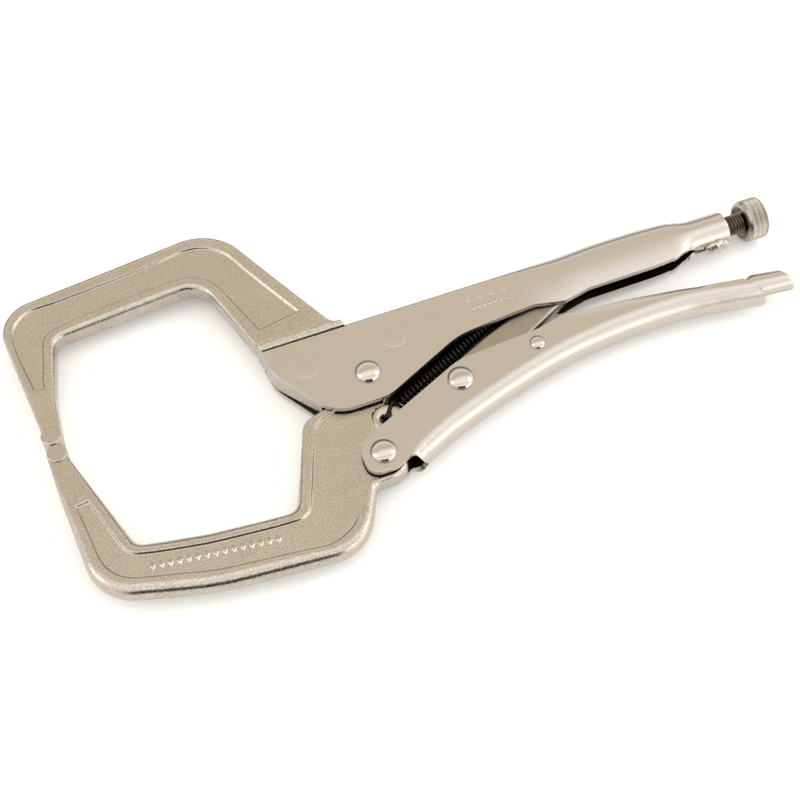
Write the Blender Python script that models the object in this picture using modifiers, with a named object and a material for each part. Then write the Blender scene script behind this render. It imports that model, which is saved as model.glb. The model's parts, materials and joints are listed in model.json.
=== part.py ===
"""Locking C-clamp pliers, 280 mm class, modelled lying flat on a table.

X runs along the handles towards the adjusting knob, Y runs across the tool
towards the fixed jaw, and Z is the thickness.  Sizes are in millimetres in the
pliers' own plan, whose zero is the jaw pivot in the middle of the thickness;
place() turns them into metres with the origin under the middle of the tool.
"""

import math

import bmesh
import bpy
from mathutils import Matrix, Vector

# Driving dimensions, millimetres and degrees.
MM = 0.001
CENTRE_X = 25.02
CENTRE_Y = 10.44
MID_HEIGHT = 9.0
ARC_STEP = 22.0

JAW_HALF = 4.1
WEB_HALF = 3.2
PLATE_INNER = 4.4
SHEET = 2.0
PLATE_OUTER = PLATE_INNER + SHEET
LINK_HALF = 3.2
LEVER_SHEET = 1.4
LEVER_HALF = 3.85
TAIL_R = 4.05
TAIL_TALLER = 0.6
LEVER_END_X = 162.4
CLEAR = 0.3

JAW_PIVOT = (0.0, 0.0)
HANDLE_PIVOT = (-6.4, -32.6)
LINK_PIVOT = (29.8, -14.6)
LEVER_PIVOT = (61.6, -10.4)
SPRING_HOLE = (-0.6, -19.2)
ANCHOR = (59.0, 11.3)
TANG_RIVETS = {"tang_rivet_front": (-20.0, 9.7), "tang_rivet_rear": (14.0, 10.9)}

SHANK_R = 3.0
LEVER_SHANK_R = 1.8
TANG_RIVET_R = 4.7
HOOK_HOLE_R = 1.4
ANCHOR_R = 1.3

SCREW_AXIS_Y = 16.3
SCREW_R = 4.0
SCREW_TIP_X = 101.0
NOSE_R = 6.2
NOSE_END_X = 152.0
KNOB_R = 8.1
KNOB_IN_X = 160.0
KNOB_OUT_X = 168.6

PAD_R = 3.6
PAD_HALF = 4.6
UPPER_PAD = (-111.9, 16.3)
LOWER_PAD = (-111.6, 8.8)

SPRING_R = 2.85
WIRE_R = 0.5
COIL_START = (6.6, -13.1)
COIL_END = (50.6, 8.2)
COIL_TURNS = 20

METALS = {
    "plated": ((0.62, 0.57, 0.48, 1.0), 0.34, 1.0),
    "forged": ((0.58, 0.53, 0.44, 1.0), 0.42, 1.0),
    "bright": ((0.70, 0.67, 0.61, 1.0), 0.26, 1.0),
    "dark_steel": ((0.16, 0.15, 0.15, 1.0), 0.40, 1.0),
    "spring_black": ((0.03, 0.03, 0.035, 1.0), 0.38, 0.8),
}


# ---------------------------------------------------------------- scene set-up
def new_collection(name):
    """Return an empty collection linked to the scene."""
    collection = bpy.data.collections.get(name) or bpy.data.collections.new(name)
    if collection.name not in bpy.context.scene.collection.children:
        bpy.context.scene.collection.children.link(collection)
    return collection


for old in list(bpy.data.objects):
    bpy.data.objects.remove(old, do_unlink=True)
PARTS = new_collection("locking_c_clamp_pliers")
CUTTERS = new_collection("cutters")


def place(x, y, z=0.0):
    """Turn plan millimetres into a point of the scene in metres."""
    return Vector(((x - CENTRE_X) * MM, (y - CENTRE_Y) * MM, (z + MID_HEIGHT) * MM))


def material(name):
    """Return one of the finishes as a Principled material."""
    found = bpy.data.materials.get(name)
    if found:
        return found
    colour, roughness, metallic = METALS[name]
    made = bpy.data.materials.new(name)
    made.use_nodes = True
    shader = made.node_tree.nodes["Principled BSDF"]
    shader.inputs["Base Color"].default_value = colour
    shader.inputs["Roughness"].default_value = roughness
    shader.inputs["Metallic"].default_value = metallic
    made.diffuse_color = colour
    return made


def own_material(obj, name):
    """Give an object its own copy of a finish."""
    finish = material(name).copy()
    finish.name = obj.name + "_" + name
    obj.data.materials.clear()
    obj.data.materials.append(finish)


def link_part(obj, finish):
    """Put a finished piece in the parts collection with its own material."""
    PARTS.objects.link(obj)
    own_material(obj, finish)
    return obj


def link_cutter(obj):
    """Put a cutting body in the cutters collection, out of sight."""
    CUTTERS.objects.link(obj)
    obj.hide_render = True
    obj.display_type = "WIRE"
    return obj


def set_origin(obj, x, y, z=0.0):
    """Move an object's origin onto a plan point without moving its shape."""
    target = place(x, y, z)
    shift = target - obj.matrix_world.translation
    turn = obj.matrix_world.to_3x3().inverted()
    obj.data.transform(Matrix.Translation(-(turn @ shift)))
    obj.location = obj.location + shift


# ---------------------------------------------------------------- plan outlines
def rounded(corners, step=ARC_STEP):
    """Return the outline through (x, y, radius) corners, each one rounded."""
    points = []
    count = len(corners)
    for index, (x, y, radius) in enumerate(corners):
        here = Vector((x, y))
        if radius <= 0.0:
            points.append((x, y))
            continue
        back = (Vector(corners[index - 1][:2]) - here).normalized()
        ahead = (Vector(corners[(index + 1) % count][:2]) - here).normalized()
        half = 0.5 * math.acos(max(-1.0, min(1.0, back.dot(ahead))))
        centre = here + (back + ahead).normalized() * (radius / math.sin(half))
        start = here + back * (radius / math.tan(half)) - centre
        sweep = math.pi - 2.0 * half
        turn = 1.0 if back.cross(ahead) < 0.0 else -1.0
        pieces = max(1, math.ceil(math.degrees(sweep) / step))
        for piece in range(pieces + 1):
            angle = turn * sweep * piece / pieces
            cos, sin = math.cos(angle), math.sin(angle)
            points.append((
                centre.x + cos * start.x - sin * start.y,
                centre.y + sin * start.x + cos * start.y,
            ))
    return points


def slab(name, corners, low, high, step=ARC_STEP, edge=0.0):
    """Return a mesh object: a rounded outline extruded in Z, edges chamfered."""
    curve = bpy.data.curves.new(name + "_outline", "CURVE")
    curve.dimensions = "2D"
    curve.fill_mode = "BOTH"
    curve.extrude = (0.5 * (high - low) - edge) * MM
    curve.bevel_depth = edge * MM
    curve.bevel_resolution = 0
    curve.offset = -edge * MM
    points = rounded(corners, step)
    spline = curve.splines.new("POLY")
    spline.points.add(len(points) - 1)
    for point, (x, y) in zip(spline.points, points):
        spot = place(x, y)
        point.co = (spot.x, spot.y, 0.0, 1.0)
    spline.use_cyclic_u = True
    holder = bpy.data.objects.new(name + "_outline", curve)
    holder.location = (0.0, 0.0, (0.5 * (low + high) + MID_HEIGHT) * MM)
    bpy.context.scene.collection.objects.link(holder)
    bpy.context.view_layer.update()
    evaluated = holder.evaluated_get(bpy.context.evaluated_depsgraph_get())
    mesh = bpy.data.meshes.new_from_object(evaluated)
    mesh.name = name
    welded = bmesh.new()
    welded.from_mesh(mesh)
    bmesh.ops.remove_doubles(welded, verts=welded.verts, dist=0.000002)
    bmesh.ops.recalc_face_normals(welded, faces=welded.faces)
    welded.to_mesh(mesh)
    welded.free()
    mesh.transform(holder.matrix_world)
    bpy.data.objects.remove(holder)
    return bpy.data.objects.new(name, mesh)


def rod(name, x, y, low, high, radius, sides=20):
    """Return an upright cylinder as a mesh object."""
    shape = bmesh.new()
    bmesh.ops.create_cone(
        shape, cap_ends=True, segments=sides, radius1=radius * MM,
        radius2=radius * MM, depth=(high - low) * MM)
    mesh = bpy.data.meshes.new(name)
    shape.to_mesh(mesh)
    shape.free()
    obj = bpy.data.objects.new(name, mesh)
    obj.location = place(x, y, 0.5 * (low + high))
    return obj


def box(name, low, high):
    """Return a box between two plan corners as a mesh object."""
    shape = bmesh.new()
    bmesh.ops.create_cube(shape, size=1.0)
    size = [(b - a) * MM for a, b in zip(low, high)]
    bmesh.ops.scale(shape, vec=size, verts=shape.verts)
    mesh = bpy.data.meshes.new(name)
    shape.to_mesh(mesh)
    shape.free()
    obj = bpy.data.objects.new(name, mesh)
    middle = [0.5 * (a + b) for a, b in zip(low, high)]
    obj.location = place(*middle)
    return obj


def turned(name, profile, steps=24, along_x=False):
    """Return a body turned from an (radius, height) profile, top to bottom."""
    mesh = bpy.data.meshes.new(name)
    points = [(radius * MM, 0.0, height * MM) for radius, height in profile]
    edges = [(i, i + 1) for i in range(len(points) - 1)]
    mesh.from_pydata(points, edges, [])
    obj = bpy.data.objects.new(name, mesh)
    spin = obj.modifiers.new("turn", "SCREW")
    spin.axis = "Z"
    spin.steps = steps
    spin.render_steps = steps
    spin.use_merge_vertices = True
    spin.merge_threshold = 0.00001
    spin.use_smooth_shade = True
    if along_x:
        obj.rotation_euler = (0.0, math.radians(90.0), 0.0)
    return obj


def boolean(obj, other, operation="DIFFERENCE"):
    """Add an exact Boolean modifier that uses another body."""
    cut = obj.modifiers.new(operation.lower(), "BOOLEAN")
    cut.operation = operation
    cut.solver = "EXACT"
    cut.object = other
    return cut


def bore(obj, point, radius, sides=16):
    """Cut a round hole through the whole thickness."""
    name = "%s_bore_%d" % (obj.name, len(obj.modifiers))
    cutter = link_cutter(rod(name, point[0], point[1], -20.0, 20.0, radius, sides))
    boolean(obj, cutter)


def pocket(obj, corners, floor, step=ARC_STEP):
    """Sink the same shallow pocket in both faces, down to the web."""
    for side, (low, high) in (("near", (floor, 20.0)), ("far", (-20.0, -floor))):
        name = "%s_web_%s" % (obj.name, side)
        boolean(obj, link_cutter(slab(name, corners, low, high, step)))


# ---------------------------------------------------------------- folded sheet
def u_path(top, half, corner, edge):
    """Return the (y, z) path of a U, from leg end over the top to leg end."""
    path = []
    for part in range(4):
        share = part / 3.0
        path.append((edge + (top - corner - edge) * share, half))
    for part in range(1, 6):
        angle = math.radians(18.0 * part)
        y = top - corner + corner * math.sin(angle)
        path.append((y, half - corner + corner * math.cos(angle)))
    return path + [(y, -z) for y, z in reversed(path)]


def ring_path(centre, radius, opening, taller=0.0):
    """Return the same path wrapped into a round or tall tube, slit below."""
    path = []
    lowest = math.radians(0.5 * opening - 90.0)
    for part in range(4):
        angle = lowest * (1.0 - part / 3.0)
        y = centre + (radius + taller) * math.sin(angle)
        path.append((y, radius * math.cos(angle)))
    for part in range(1, 6):
        angle = math.radians(17.4 * part)
        y = centre + (radius + taller) * math.sin(angle)
        path.append((y, radius * math.cos(angle)))
    return path + [(y, -z) for y, z in reversed(path)]


def u_section(top, half, corner, edge, sheet=SHEET):
    """Return the outer and inner paths of a folded sheet."""
    outer = u_path(top, half, corner, edge)
    inner = u_path(top - sheet, half - sheet, max(corner - sheet, 0.3), edge)
    return outer, inner


def between(first, second, share):
    """Blend two sections of the same number of points."""
    blended = []
    for one, two in zip(first, second):
        blended.append([
            (a[0] + (b[0] - a[0]) * share, a[1] + (b[1] - a[1]) * share)
            for a, b in zip(one, two)
        ])
    return tuple(blended)


def folded_sheet(name, sections):
    """Return a folded sheet lofted through (x, (outer, inner)) sections."""
    shape = bmesh.new()
    loops = []
    for x, (outer, inner) in sections:
        path = outer + inner[::-1]
        loops.append([shape.verts.new(place(x, y, z)) for y, z in path])
    count = len(loops[0])
    for first, second in zip(loops, loops[1:]):
        for i in range(count):
            j = (i + 1) % count
            shape.faces.new((first[i], first[j], second[j], second[i]))
    for loop in (loops[0], loops[-1]):
        for i in range(count // 2 - 1):
            shape.faces.new((loop[i], loop[i + 1], loop[-2 - i], loop[-1 - i]))
    bmesh.ops.recalc_face_normals(shape, faces=shape.faces)
    mesh = bpy.data.meshes.new(name)
    shape.to_mesh(mesh)
    shape.free()
    return bpy.data.objects.new(name, mesh)


# ---------------------------------------------------------------- jaws
def make_fixed_jaw():
    """Forged upper jaw with its tang between the upper handle's plates."""
    body = slab("fixed_jaw", [
        (-114.5, 16.4, 0.0), (-115.9, 32.0, 60.0), (-119.7, 75.4, 13.5),
        (-31.8, 85.6, 20.0), (-4.6, 28.2, 5.0), (-1.3, 25.6, 0.6),
        (-0.3, 22.9, 0.0), (-0.3, 20.8, 0.0), (21.0, 20.6, 1.5),
        (21.5, 4.0, 2.0), (9.0, 1.0, 0.0), (-2.0, 1.0, 0.0),
        (-14.5, -2.6, 0.0), (-19.3, -3.2, 2.0), (-31.4, 14.0, 9.0),
        (-32.2, 22.0, 0.0), (-32.9, 24.0, 0.0), (-44.2, 61.8, 10.5),
        (-100.8, 56.4, 6.0), (-106.7, 32.0, 30.0), (-108.3, 16.4, 0.0),
    ], -JAW_HALF, JAW_HALF, edge=0.6)
    rib = slab("fixed_jaw_shoulder", [
        (-32.4, 22.4, 0.5), (-1.3, 22.4, 0.5), (-1.3, 25.9, 0.5),
        (-32.4, 25.9, 0.5),
    ], -PLATE_OUTER, PLATE_OUTER, edge=0.4)
    boolean(body, link_cutter(rib), "UNION")
    pocket(body, [
        (-112.3, 36.3, 0.8), (-109.8, 36.3, 0.8), (-103.8, 62.2, 7.0),
        (-41.0, 65.4, 14.0), (-29.6, 30.3, 2.0), (-11.0, 31.5, 2.5),
        (-33.4, 79.6, 14.0), (-115.3, 72.9, 12.0),
    ], WEB_HALF)
    relief = rod("fixed_jaw_relief", 0.0, 0.0, -20.0, 20.0, 10.6, 32)
    boolean(body, link_cutter(relief))
    for point in TANG_RIVETS.values():
        bore(body, point, TANG_RIVET_R + CLEAR)
    bore(body, UPPER_PAD, PAD_R + CLEAR, 24)
    return link_part(body, "forged")


def make_moving_jaw():
    """Forged lower jaw that turns on the jaw pivot."""
    body = slab("moving_jaw", [
        (-115.3, 8.8, 0.0), (-115.0, -8.0, 60.0), (-112.7, -48.6, 18.0),
        (-74.8, -59.4, 110.0), (-23.2, -64.8, 23.0), (-12.2, -40.8, 3.0),
        (0.8, -39.8, 7.0), (1.6, -25.6, 3.0), (5.9, -22.6, 2.5),
        (5.6, -15.6, 3.6), (0.0, -13.4, 2.0), (4.5, -9.6, 3.0),
        (9.3, -2.0, 8.0), (7.0, 9.2, 6.5), (-7.4, 9.2, 6.5),
        (-10.4, -4.9, 6.0), (-28.2, -10.2, 7.0), (-41.4, -41.7, 5.0),
        (-72.0, -38.4, 60.0), (-95.3, -34.0, 5.0), (-109.0, 8.8, 0.0),
    ], -JAW_HALF, JAW_HALF, edge=0.6)
    pocket(body, [
        (-109.3, -12.6, 0.8), (-106.0, -12.6, 0.8), (-96.8, -37.6, 4.0),
        (-72.0, -42.4, 60.0), (-38.2, -45.2, 5.0), (-23.6, -13.8, 4.0),
        (-3.2, -13.6, 1.5), (-16.5, -44.0, 30.0), (-27.0, -60.2, 12.0),
        (-62.6, -55.9, 90.0), (-108.2, -45.8, 11.0),
    ], WEB_HALF)
    bore(body, JAW_PIVOT, SHANK_R + CLEAR)
    bore(body, HANDLE_PIVOT, SHANK_R + CLEAR)
    bore(body, SPRING_HOLE, HOOK_HOLE_R, 14)
    bore(body, LOWER_PAD, PAD_R + CLEAR, 24)
    link_part(body, "forged")
    set_origin(body, *JAW_PIVOT)
    return body


def make_pads():
    """Two round cross pads that meet between the jaw tips."""
    pads = []
    for name, point in (("upper_tip_pad", UPPER_PAD), ("lower_tip_pad", LOWER_PAD)):
        chamfer = 0.4
        body = turned(name, [
            (0.0, PAD_HALF), (PAD_R - chamfer, PAD_HALF), (PAD_R, PAD_HALF - chamfer),
            (PAD_R, chamfer - PAD_HALF), (PAD_R - chamfer, -PAD_HALF), (0.0, -PAD_HALF),
        ], 24)
        body.location = place(*point)
        pads.append(link_part(body, "bright"))
    return pads


# ---------------------------------------------------------------- handles
def make_upper_handle():
    """Folded sheet handle: flat cheeks in front, round grip, round nose."""
    stations = [
        # x, top, corner radius, leg end
        (-36.0, 23.2, 2.0, -18.0), (2.0, 23.2, 2.0, -18.0), (48.0, 23.3, 2.2, -10.0),
        (70.0, 24.2, 4.2, -6.0), (86.0, 25.2, 6.2, -2.0), (104.0, 26.1, 6.25, 2.0),
        (118.0, 25.9, 6.25, 6.4), (127.0, 25.4, 6.25, 7.0), (132.0, 24.6, 6.2, 8.6),
    ]
    sections = []
    ring = (
        ring_path(SCREW_AXIS_Y, NOSE_R, 16.0),
        ring_path(SCREW_AXIS_Y, SCREW_R + 0.4, 16.0),
    )
    for x, top, corner, edge in stations:
        sections.append((x, u_section(top, PLATE_OUTER, corner, edge)))
    last = sections[-1][1]
    for x, share in ((135.0, 0.45), (138.0, 0.85), (141.0, 1.0), (NOSE_END_X, 1.0)):
        sections.append((x, between(last, ring, share)))
    body = folded_sheet("upper_handle", sections)
    outline = slab("upper_handle_side", [
        (-32.6, 22.0, 0.6), (-31.9, 12.0, 20.0), (-17.0, -11.9, 14.0),
        (3.8, -11.9, 14.0), (36.0, 3.0, 30.0), (68.0, 6.0, 8.0),
        (79.5, 3.8, 4.0), (90.0, 6.2, 6.0), (122.0, 6.9, 0.0),
        (128.0, 0.0, 0.0), (158.0, 0.0, 0.0), (158.0, 32.0, 0.0),
        (-1.0, 32.0, 0.0), (-1.0, 22.0, 0.0),
    ], -12.0, 12.0)
    boolean(body, link_cutter(outline), "INTERSECT")
    notch = box("upper_handle_notch", (-40.0, 5.0, -PLATE_INNER), (0.3, 35.0, PLATE_INNER))
    boolean(body, link_cutter(notch))
    bore(body, JAW_PIVOT, SHANK_R + CLEAR)
    for point in TANG_RIVETS.values():
        bore(body, point, TANG_RIVET_R + CLEAR)
    return link_part(body, "plated")


def make_lower_handle():
    """Folded sheet lever, open towards the upper handle."""
    stations = [
        # x, bottom, leg end
        (-17.0, -54.0, 4.0), (2.4, -54.0, 4.0), (4.6, -40.4, 4.0), (8.0, -38.8, 4.0),
        (14.0, -36.2, 4.0), (22.0, -32.8, 4.0), (31.0, -29.7, 4.0), (41.0, -26.5, 4.0),
        (52.0, -23.4, 4.0), (64.0, -20.4, 4.0), (76.0, -18.2, 4.0), (88.0, -16.9, 4.0),
        (99.0, -16.2, 4.0), (110.0, -16.0, 4.0), (121.0, -16.4, 4.0),
        (132.0, -17.6, 4.0), (141.0, -19.0, 4.0), (154.0, -21.3, 4.0),
    ]
    sections = []
    for x, bottom, edge in stations:
        paths = u_section(-bottom, PLATE_OUTER, 6.25, -edge)
        sections.append((x, tuple([(-y, z) for y, z in path] for path in paths)))
    body = folded_sheet("lower_handle", sections)
    outline = slab("lower_handle_side", [
        (-14.0, -27.4, 7.6), (-14.0, -39.8, 7.2), (-4.0, -39.9, 3.0),
        (2.5, -37.9, 0.0), (5.2, -37.4, 0.0), (5.6, -42.0, 0.0), (100.0, -42.0, 0.0),
        (118.0, -16.9, 0.0), (151.4, -21.4, 3.4), (144.0, -10.7, 0.8),
        (100.0, -4.2, 80.0), (75.5, -2.1, 8.0), (64.5, -4.8, 5.0),
        (32.0, -6.9, 22.0),
    ], -12.0, 12.0)
    boolean(body, link_cutter(outline), "INTERSECT")
    bore(body, HANDLE_PIVOT, SHANK_R + CLEAR)
    bore(body, LINK_PIVOT, SHANK_R + CLEAR)
    bore(body, LEVER_PIVOT, LEVER_SHANK_R + CLEAR, 16)
    link_part(body, "plated")
    set_origin(body, *HANDLE_PIVOT)
    return body


def make_nose_weld():
    """Weld bead that closes the seam under the nose."""
    low = SCREW_AXIS_Y - NOSE_R
    body = turned("nose_weld", [
        (0.0, 5.0), (1.2, 4.6), (1.7, 3.0), (1.8, 0.0), (1.6, -3.2), (1.0, -4.6), (0.0, -5.0),
    ], 14, True)
    body.location = place(146.8, low - 1.8 - CLEAR, -0.6)
    return link_part(body, "bright")


# ---------------------------------------------------------------- inner pieces
def make_toggle_link():
    """Flat bar from the lower handle to the adjusting screw's tip."""
    body = slab("toggle_link", [
        (23.9, -17.4, 5.8), (27.6, -8.7, 5.8), (88.4, 18.4, 3.9),
        (96.0, 19.0, 3.9), (96.2, 9.3, 3.9), (88.0, 9.6, 12.0),
        (62.0, -4.0, 10.0), (34.4, -20.2, 5.8),
    ], -LINK_HALF, LINK_HALF, edge=0.5)
    bore(body, LINK_PIVOT, SHANK_R + CLEAR)
    link_part(body, "forged")
    set_origin(body, *LINK_PIVOT)
    return body


def make_release_lever():
    """Pressed sheet lever in the lower handle, rolled round at its tail."""
    stations = [
        # x, top, leg end
        (54.0, -6.2, -16.0), (66.0, -6.1, -14.8), (80.0, -6.0, -12.6),
        (100.0, -6.0, -11.0), (118.0, -6.6, -11.0), (132.0, -7.3, -12.3),
        (139.0, -7.7, -13.2),
    ]
    sections = []
    for x, top, edge in stations:
        sections.append((x, u_section(top, LEVER_HALF, 3.7, edge, LEVER_SHEET)))
    for x, centre in ((146.0, -12.4), (154.0, -13.3), (LEVER_END_X + 4.0, -14.8)):
        sections.append((x, (
            ring_path(centre, TAIL_R, 24.0, TAIL_TALLER),
            ring_path(centre, TAIL_R - LEVER_SHEET, 24.0, TAIL_TALLER),
        )))
    body = folded_sheet("release_lever", sections)
    outline = slab("release_lever_side", [
        (57.2, -14.8, 4.2), (57.2, -5.6, 3.4), (63.0, -5.0, 0.0), (63.0, 0.0, 0.0),
        (159.0, 0.0, 0.0), (LEVER_END_X + 3.2, -22.0, 0.0), (140.0, -30.0, 0.0),
        (70.0, -30.0, 0.0), (66.0, -14.8, 0.0),
    ], -12.0, 12.0)
    boolean(body, link_cutter(outline), "INTERSECT")
    bore(body, LEVER_PIVOT, LEVER_SHANK_R + CLEAR)
    link_part(body, "plated")
    set_origin(body, *LEVER_PIVOT)
    return body


def make_screw():
    """Adjusting screw whose tip stops the toggle link."""
    length = KNOB_IN_X - CLEAR - SCREW_TIP_X
    profile = [(0.0, length)]
    profile += [(SCREW_R - 0.5, length), (SCREW_R, length - 0.5), (SCREW_R, 2.0)]
    profile += [(SCREW_R - 1.8, 0.0), (0.0, 0.0)]
    body = turned("adjusting_screw", profile, 24, True)
    body.location = place(SCREW_TIP_X, SCREW_AXIS_Y)
    return link_part(body, "dark_steel")


def make_knob():
    """Knurled head of the adjusting screw with a plain collar."""
    width = KNOB_OUT_X - KNOB_IN_X
    body = turned("adjuster_knob", [
        (0.0, width), (KNOB_R - 1.2, width), (KNOB_R, width - 0.9), (KNOB_R, 2.4),
        (KNOB_R - 0.6, 1.7), (KNOB_R - 0.6, 0.4), (KNOB_R - 1.0, 0.0), (0.0, 0.0),
    ], 36, True)
    body.location = place(KNOB_IN_X, SCREW_AXIS_Y)
    return link_part(body, "bright")


def make_rivet(name, point, shank, head, height):
    """Cross rivet with a low dome outside each plate."""
    base = PLATE_OUTER + CLEAR
    dome = []
    for part in range(4):
        angle = math.radians(90.0 - 27.0 * part)
        dome.append((head * math.cos(angle), base + height * math.sin(angle)))
    dome[0] = (0.0, base + height)
    profile = dome + [(head, base), (shank, base)]
    profile += [(shank, -base), (head, -base)]
    profile += [(radius, -z) for radius, z in reversed(dome)]
    body = turned(name, profile, 18)
    body.location = place(*point)
    return link_part(body, "bright")


def make_flush_rivet(name, point):
    """Rivet hammered flush that joins the tang to both cheeks."""
    reach = PLATE_OUTER
    body = rod(name, point[0], point[1], -reach, reach, TANG_RIVET_R, 20)
    return link_part(body, "plated")


def make_anchor_pin():
    """Cross pin inside the upper handle that holds the return spring."""
    reach = PLATE_INNER - CLEAR
    body = rod("spring_anchor_pin", ANCHOR[0], ANCHOR[1], -reach, reach, ANCHOR_R, 16)
    return link_part(body, "dark_steel")


def make_spring():
    """Close wound return spring with a hook at each end."""
    start = Vector((COIL_START[0], COIL_START[1], 0.0))
    end = Vector((COIL_END[0], COIL_END[1], 0.0))
    along = (end - start).normalized()
    side = Vector((-along.y, along.x, 0.0))
    up = Vector((0.0, 0.0, 1.0))
    radius = SPRING_R - WIRE_R
    hole = Vector((SPRING_HOLE[0], SPRING_HOLE[1], 0.0))
    pin = Vector((ANCHOR[0], ANCHOR[1], 0.0))
    points = [hole + Vector((0.1, 0.1, 1.5)), hole + Vector((0.1, 0.1, 4.3)),
              hole + Vector((0.6, 0.7, 5.0)), start - along * 3.2 + up * 4.9,
              start - along * 1.2 + up * 3.9]
    per_turn = 8
    total = COIL_TURNS * per_turn
    for i in range(total + 1):
        share = i / total
        angle = 2.0 * math.pi * i / per_turn
        centre = start + (end - start) * share
        points.append(centre + up * (radius * math.cos(angle)) + side * (radius * math.sin(angle)))
    ring = ANCHOR_R + CLEAR + WIRE_R + 0.1
    points.append(end + along * 1.4 + up * 1.2)
    toward = (pin - end).normalized()
    across = Vector((-toward.y, toward.x, 0.0))
    for part in range(7):
        angle = math.radians(180.0 - 40.0 * part)
        points.append(pin + toward * (ring * math.cos(angle)) + across * (ring * math.sin(angle)))
    curve = bpy.data.curves.new("return_spring_wire", "CURVE")
    curve.dimensions = "3D"
    curve.bevel_depth = WIRE_R * MM
    curve.bevel_resolution = 1
    curve.use_fill_caps = True
    spline = curve.splines.new("POLY")
    spline.points.add(len(points) - 1)
    for slot, point in zip(spline.points, points):
        spot = place(point.x, point.y, point.z)
        slot.co = (spot.x, spot.y, spot.z, 1.0)
    holder = bpy.data.objects.new("return_spring_wire", curve)
    bpy.context.scene.collection.objects.link(holder)
    bpy.context.view_layer.update()
    evaluated = holder.evaluated_get(bpy.context.evaluated_depsgraph_get())
    mesh = bpy.data.meshes.new_from_object(evaluated)
    mesh.name = "return_spring"
    welded = bmesh.new()
    welded.from_mesh(mesh)
    bmesh.ops.remove_doubles(welded, verts=welded.verts, dist=0.000002)
    bmesh.ops.recalc_face_normals(welded, faces=welded.faces)
    welded.to_mesh(mesh)
    welded.free()
    bpy.data.objects.remove(holder)
    return link_part(bpy.data.objects.new("return_spring", mesh), "spring_black")


make_fixed_jaw()
make_moving_jaw()
make_pads()
make_upper_handle()
make_lower_handle()
make_nose_weld()
make_toggle_link()
make_release_lever()
make_screw()
make_knob()
make_rivet("jaw_pivot_rivet", JAW_PIVOT, SHANK_R, 4.8, 2.3)
make_rivet("handle_pivot_rivet", HANDLE_PIVOT, SHANK_R, 4.75, 2.3)
make_rivet("link_pivot_rivet", LINK_PIVOT, SHANK_R, 4.9, 2.3)
make_rivet("lever_pivot_rivet", LEVER_PIVOT, LEVER_SHANK_R, 2.9, 1.5)
for rivet_name, rivet_point in TANG_RIVETS.items():
    make_flush_rivet(rivet_name, rivet_point)
make_anchor_pin()
make_spring()
for part in PARTS.objects:
    part.data.shade_smooth()
    part.data.set_sharp_from_angle(angle=math.radians(32.0))
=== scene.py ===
"""Locking C-clamp pliers in satin nickel plate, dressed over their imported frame.

Sizes are millimetres in the pliers' own plan: X runs along the handles towards
the knob, Y across the tool towards the fixed jaw, and Z up through the
thickness, with zero at the jaw pivot in the middle of the thickness.
"""

from __future__ import annotations

import json
import logging
import math
from dataclasses import dataclass, field
from enum import Enum

import bmesh
import bpy
import numpy as np
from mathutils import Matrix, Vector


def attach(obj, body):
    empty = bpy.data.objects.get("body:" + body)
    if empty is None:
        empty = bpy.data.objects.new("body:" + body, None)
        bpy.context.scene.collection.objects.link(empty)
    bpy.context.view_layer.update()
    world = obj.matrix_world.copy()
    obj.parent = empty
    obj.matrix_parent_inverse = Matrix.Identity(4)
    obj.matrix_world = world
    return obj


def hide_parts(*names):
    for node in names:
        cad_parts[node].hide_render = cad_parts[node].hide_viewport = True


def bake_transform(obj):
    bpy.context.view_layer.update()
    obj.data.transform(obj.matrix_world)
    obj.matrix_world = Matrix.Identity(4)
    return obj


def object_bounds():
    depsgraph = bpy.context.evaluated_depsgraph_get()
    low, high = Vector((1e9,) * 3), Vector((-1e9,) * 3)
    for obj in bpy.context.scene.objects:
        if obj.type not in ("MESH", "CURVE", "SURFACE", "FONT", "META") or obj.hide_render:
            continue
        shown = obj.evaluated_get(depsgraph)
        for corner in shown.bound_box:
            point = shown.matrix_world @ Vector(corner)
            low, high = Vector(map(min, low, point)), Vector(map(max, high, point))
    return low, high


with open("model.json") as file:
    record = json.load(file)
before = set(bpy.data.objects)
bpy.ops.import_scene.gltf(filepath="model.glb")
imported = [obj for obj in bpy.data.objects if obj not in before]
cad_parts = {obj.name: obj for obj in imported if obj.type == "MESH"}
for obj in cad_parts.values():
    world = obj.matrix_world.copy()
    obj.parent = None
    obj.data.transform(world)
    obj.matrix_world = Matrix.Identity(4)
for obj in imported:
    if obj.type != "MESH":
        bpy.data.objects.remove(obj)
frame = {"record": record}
CAD_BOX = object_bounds()

LOG = logging.getLogger("pliers")
MM = 0.001
Array = np.ndarray
Corner = tuple[float, float, float]
Place = tuple[float, float]

# The sizes and places that several pieces share.
FORGING_HALF = 4.1
CHEEK_HALF = 6.4
SHEET = 1.9
SCREW_AXIS_Y = 16.3
SPRING_HOLE = (-0.6, -19.2)
# Points nearer than this are one point, in metres.
MERGE_GAP = 0.000001


def joint_place(name: str) -> Array:
    """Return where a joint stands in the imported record, in metres.

    Args:
        name: The joint's name.

    Returns:
        Its point as three numbers.
    """
    joints = frame["record"]["behaviour"]["joints"]
    return np.array(next(j["pos_m"] for j in joints if j["name"] == name))


PLAN_ZERO = joint_place("jaw_open")


def plan_of(name: str) -> Array:
    """Return a joint's place in plan millimetres."""
    return (joint_place(name) - PLAN_ZERO) / MM


class Body(Enum):
    """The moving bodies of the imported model."""

    UPPER_HANDLE = "upper_handle"
    MOVING_JAW = "moving_jaw"
    LOWER_HANDLE = "lower_handle"
    TOGGLE_LINK = "toggle_link"
    RELEASE_LEVER = "release_lever"
    SCREW = "adjusting_screw"
    KNOB = "adjuster_knob"


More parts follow.
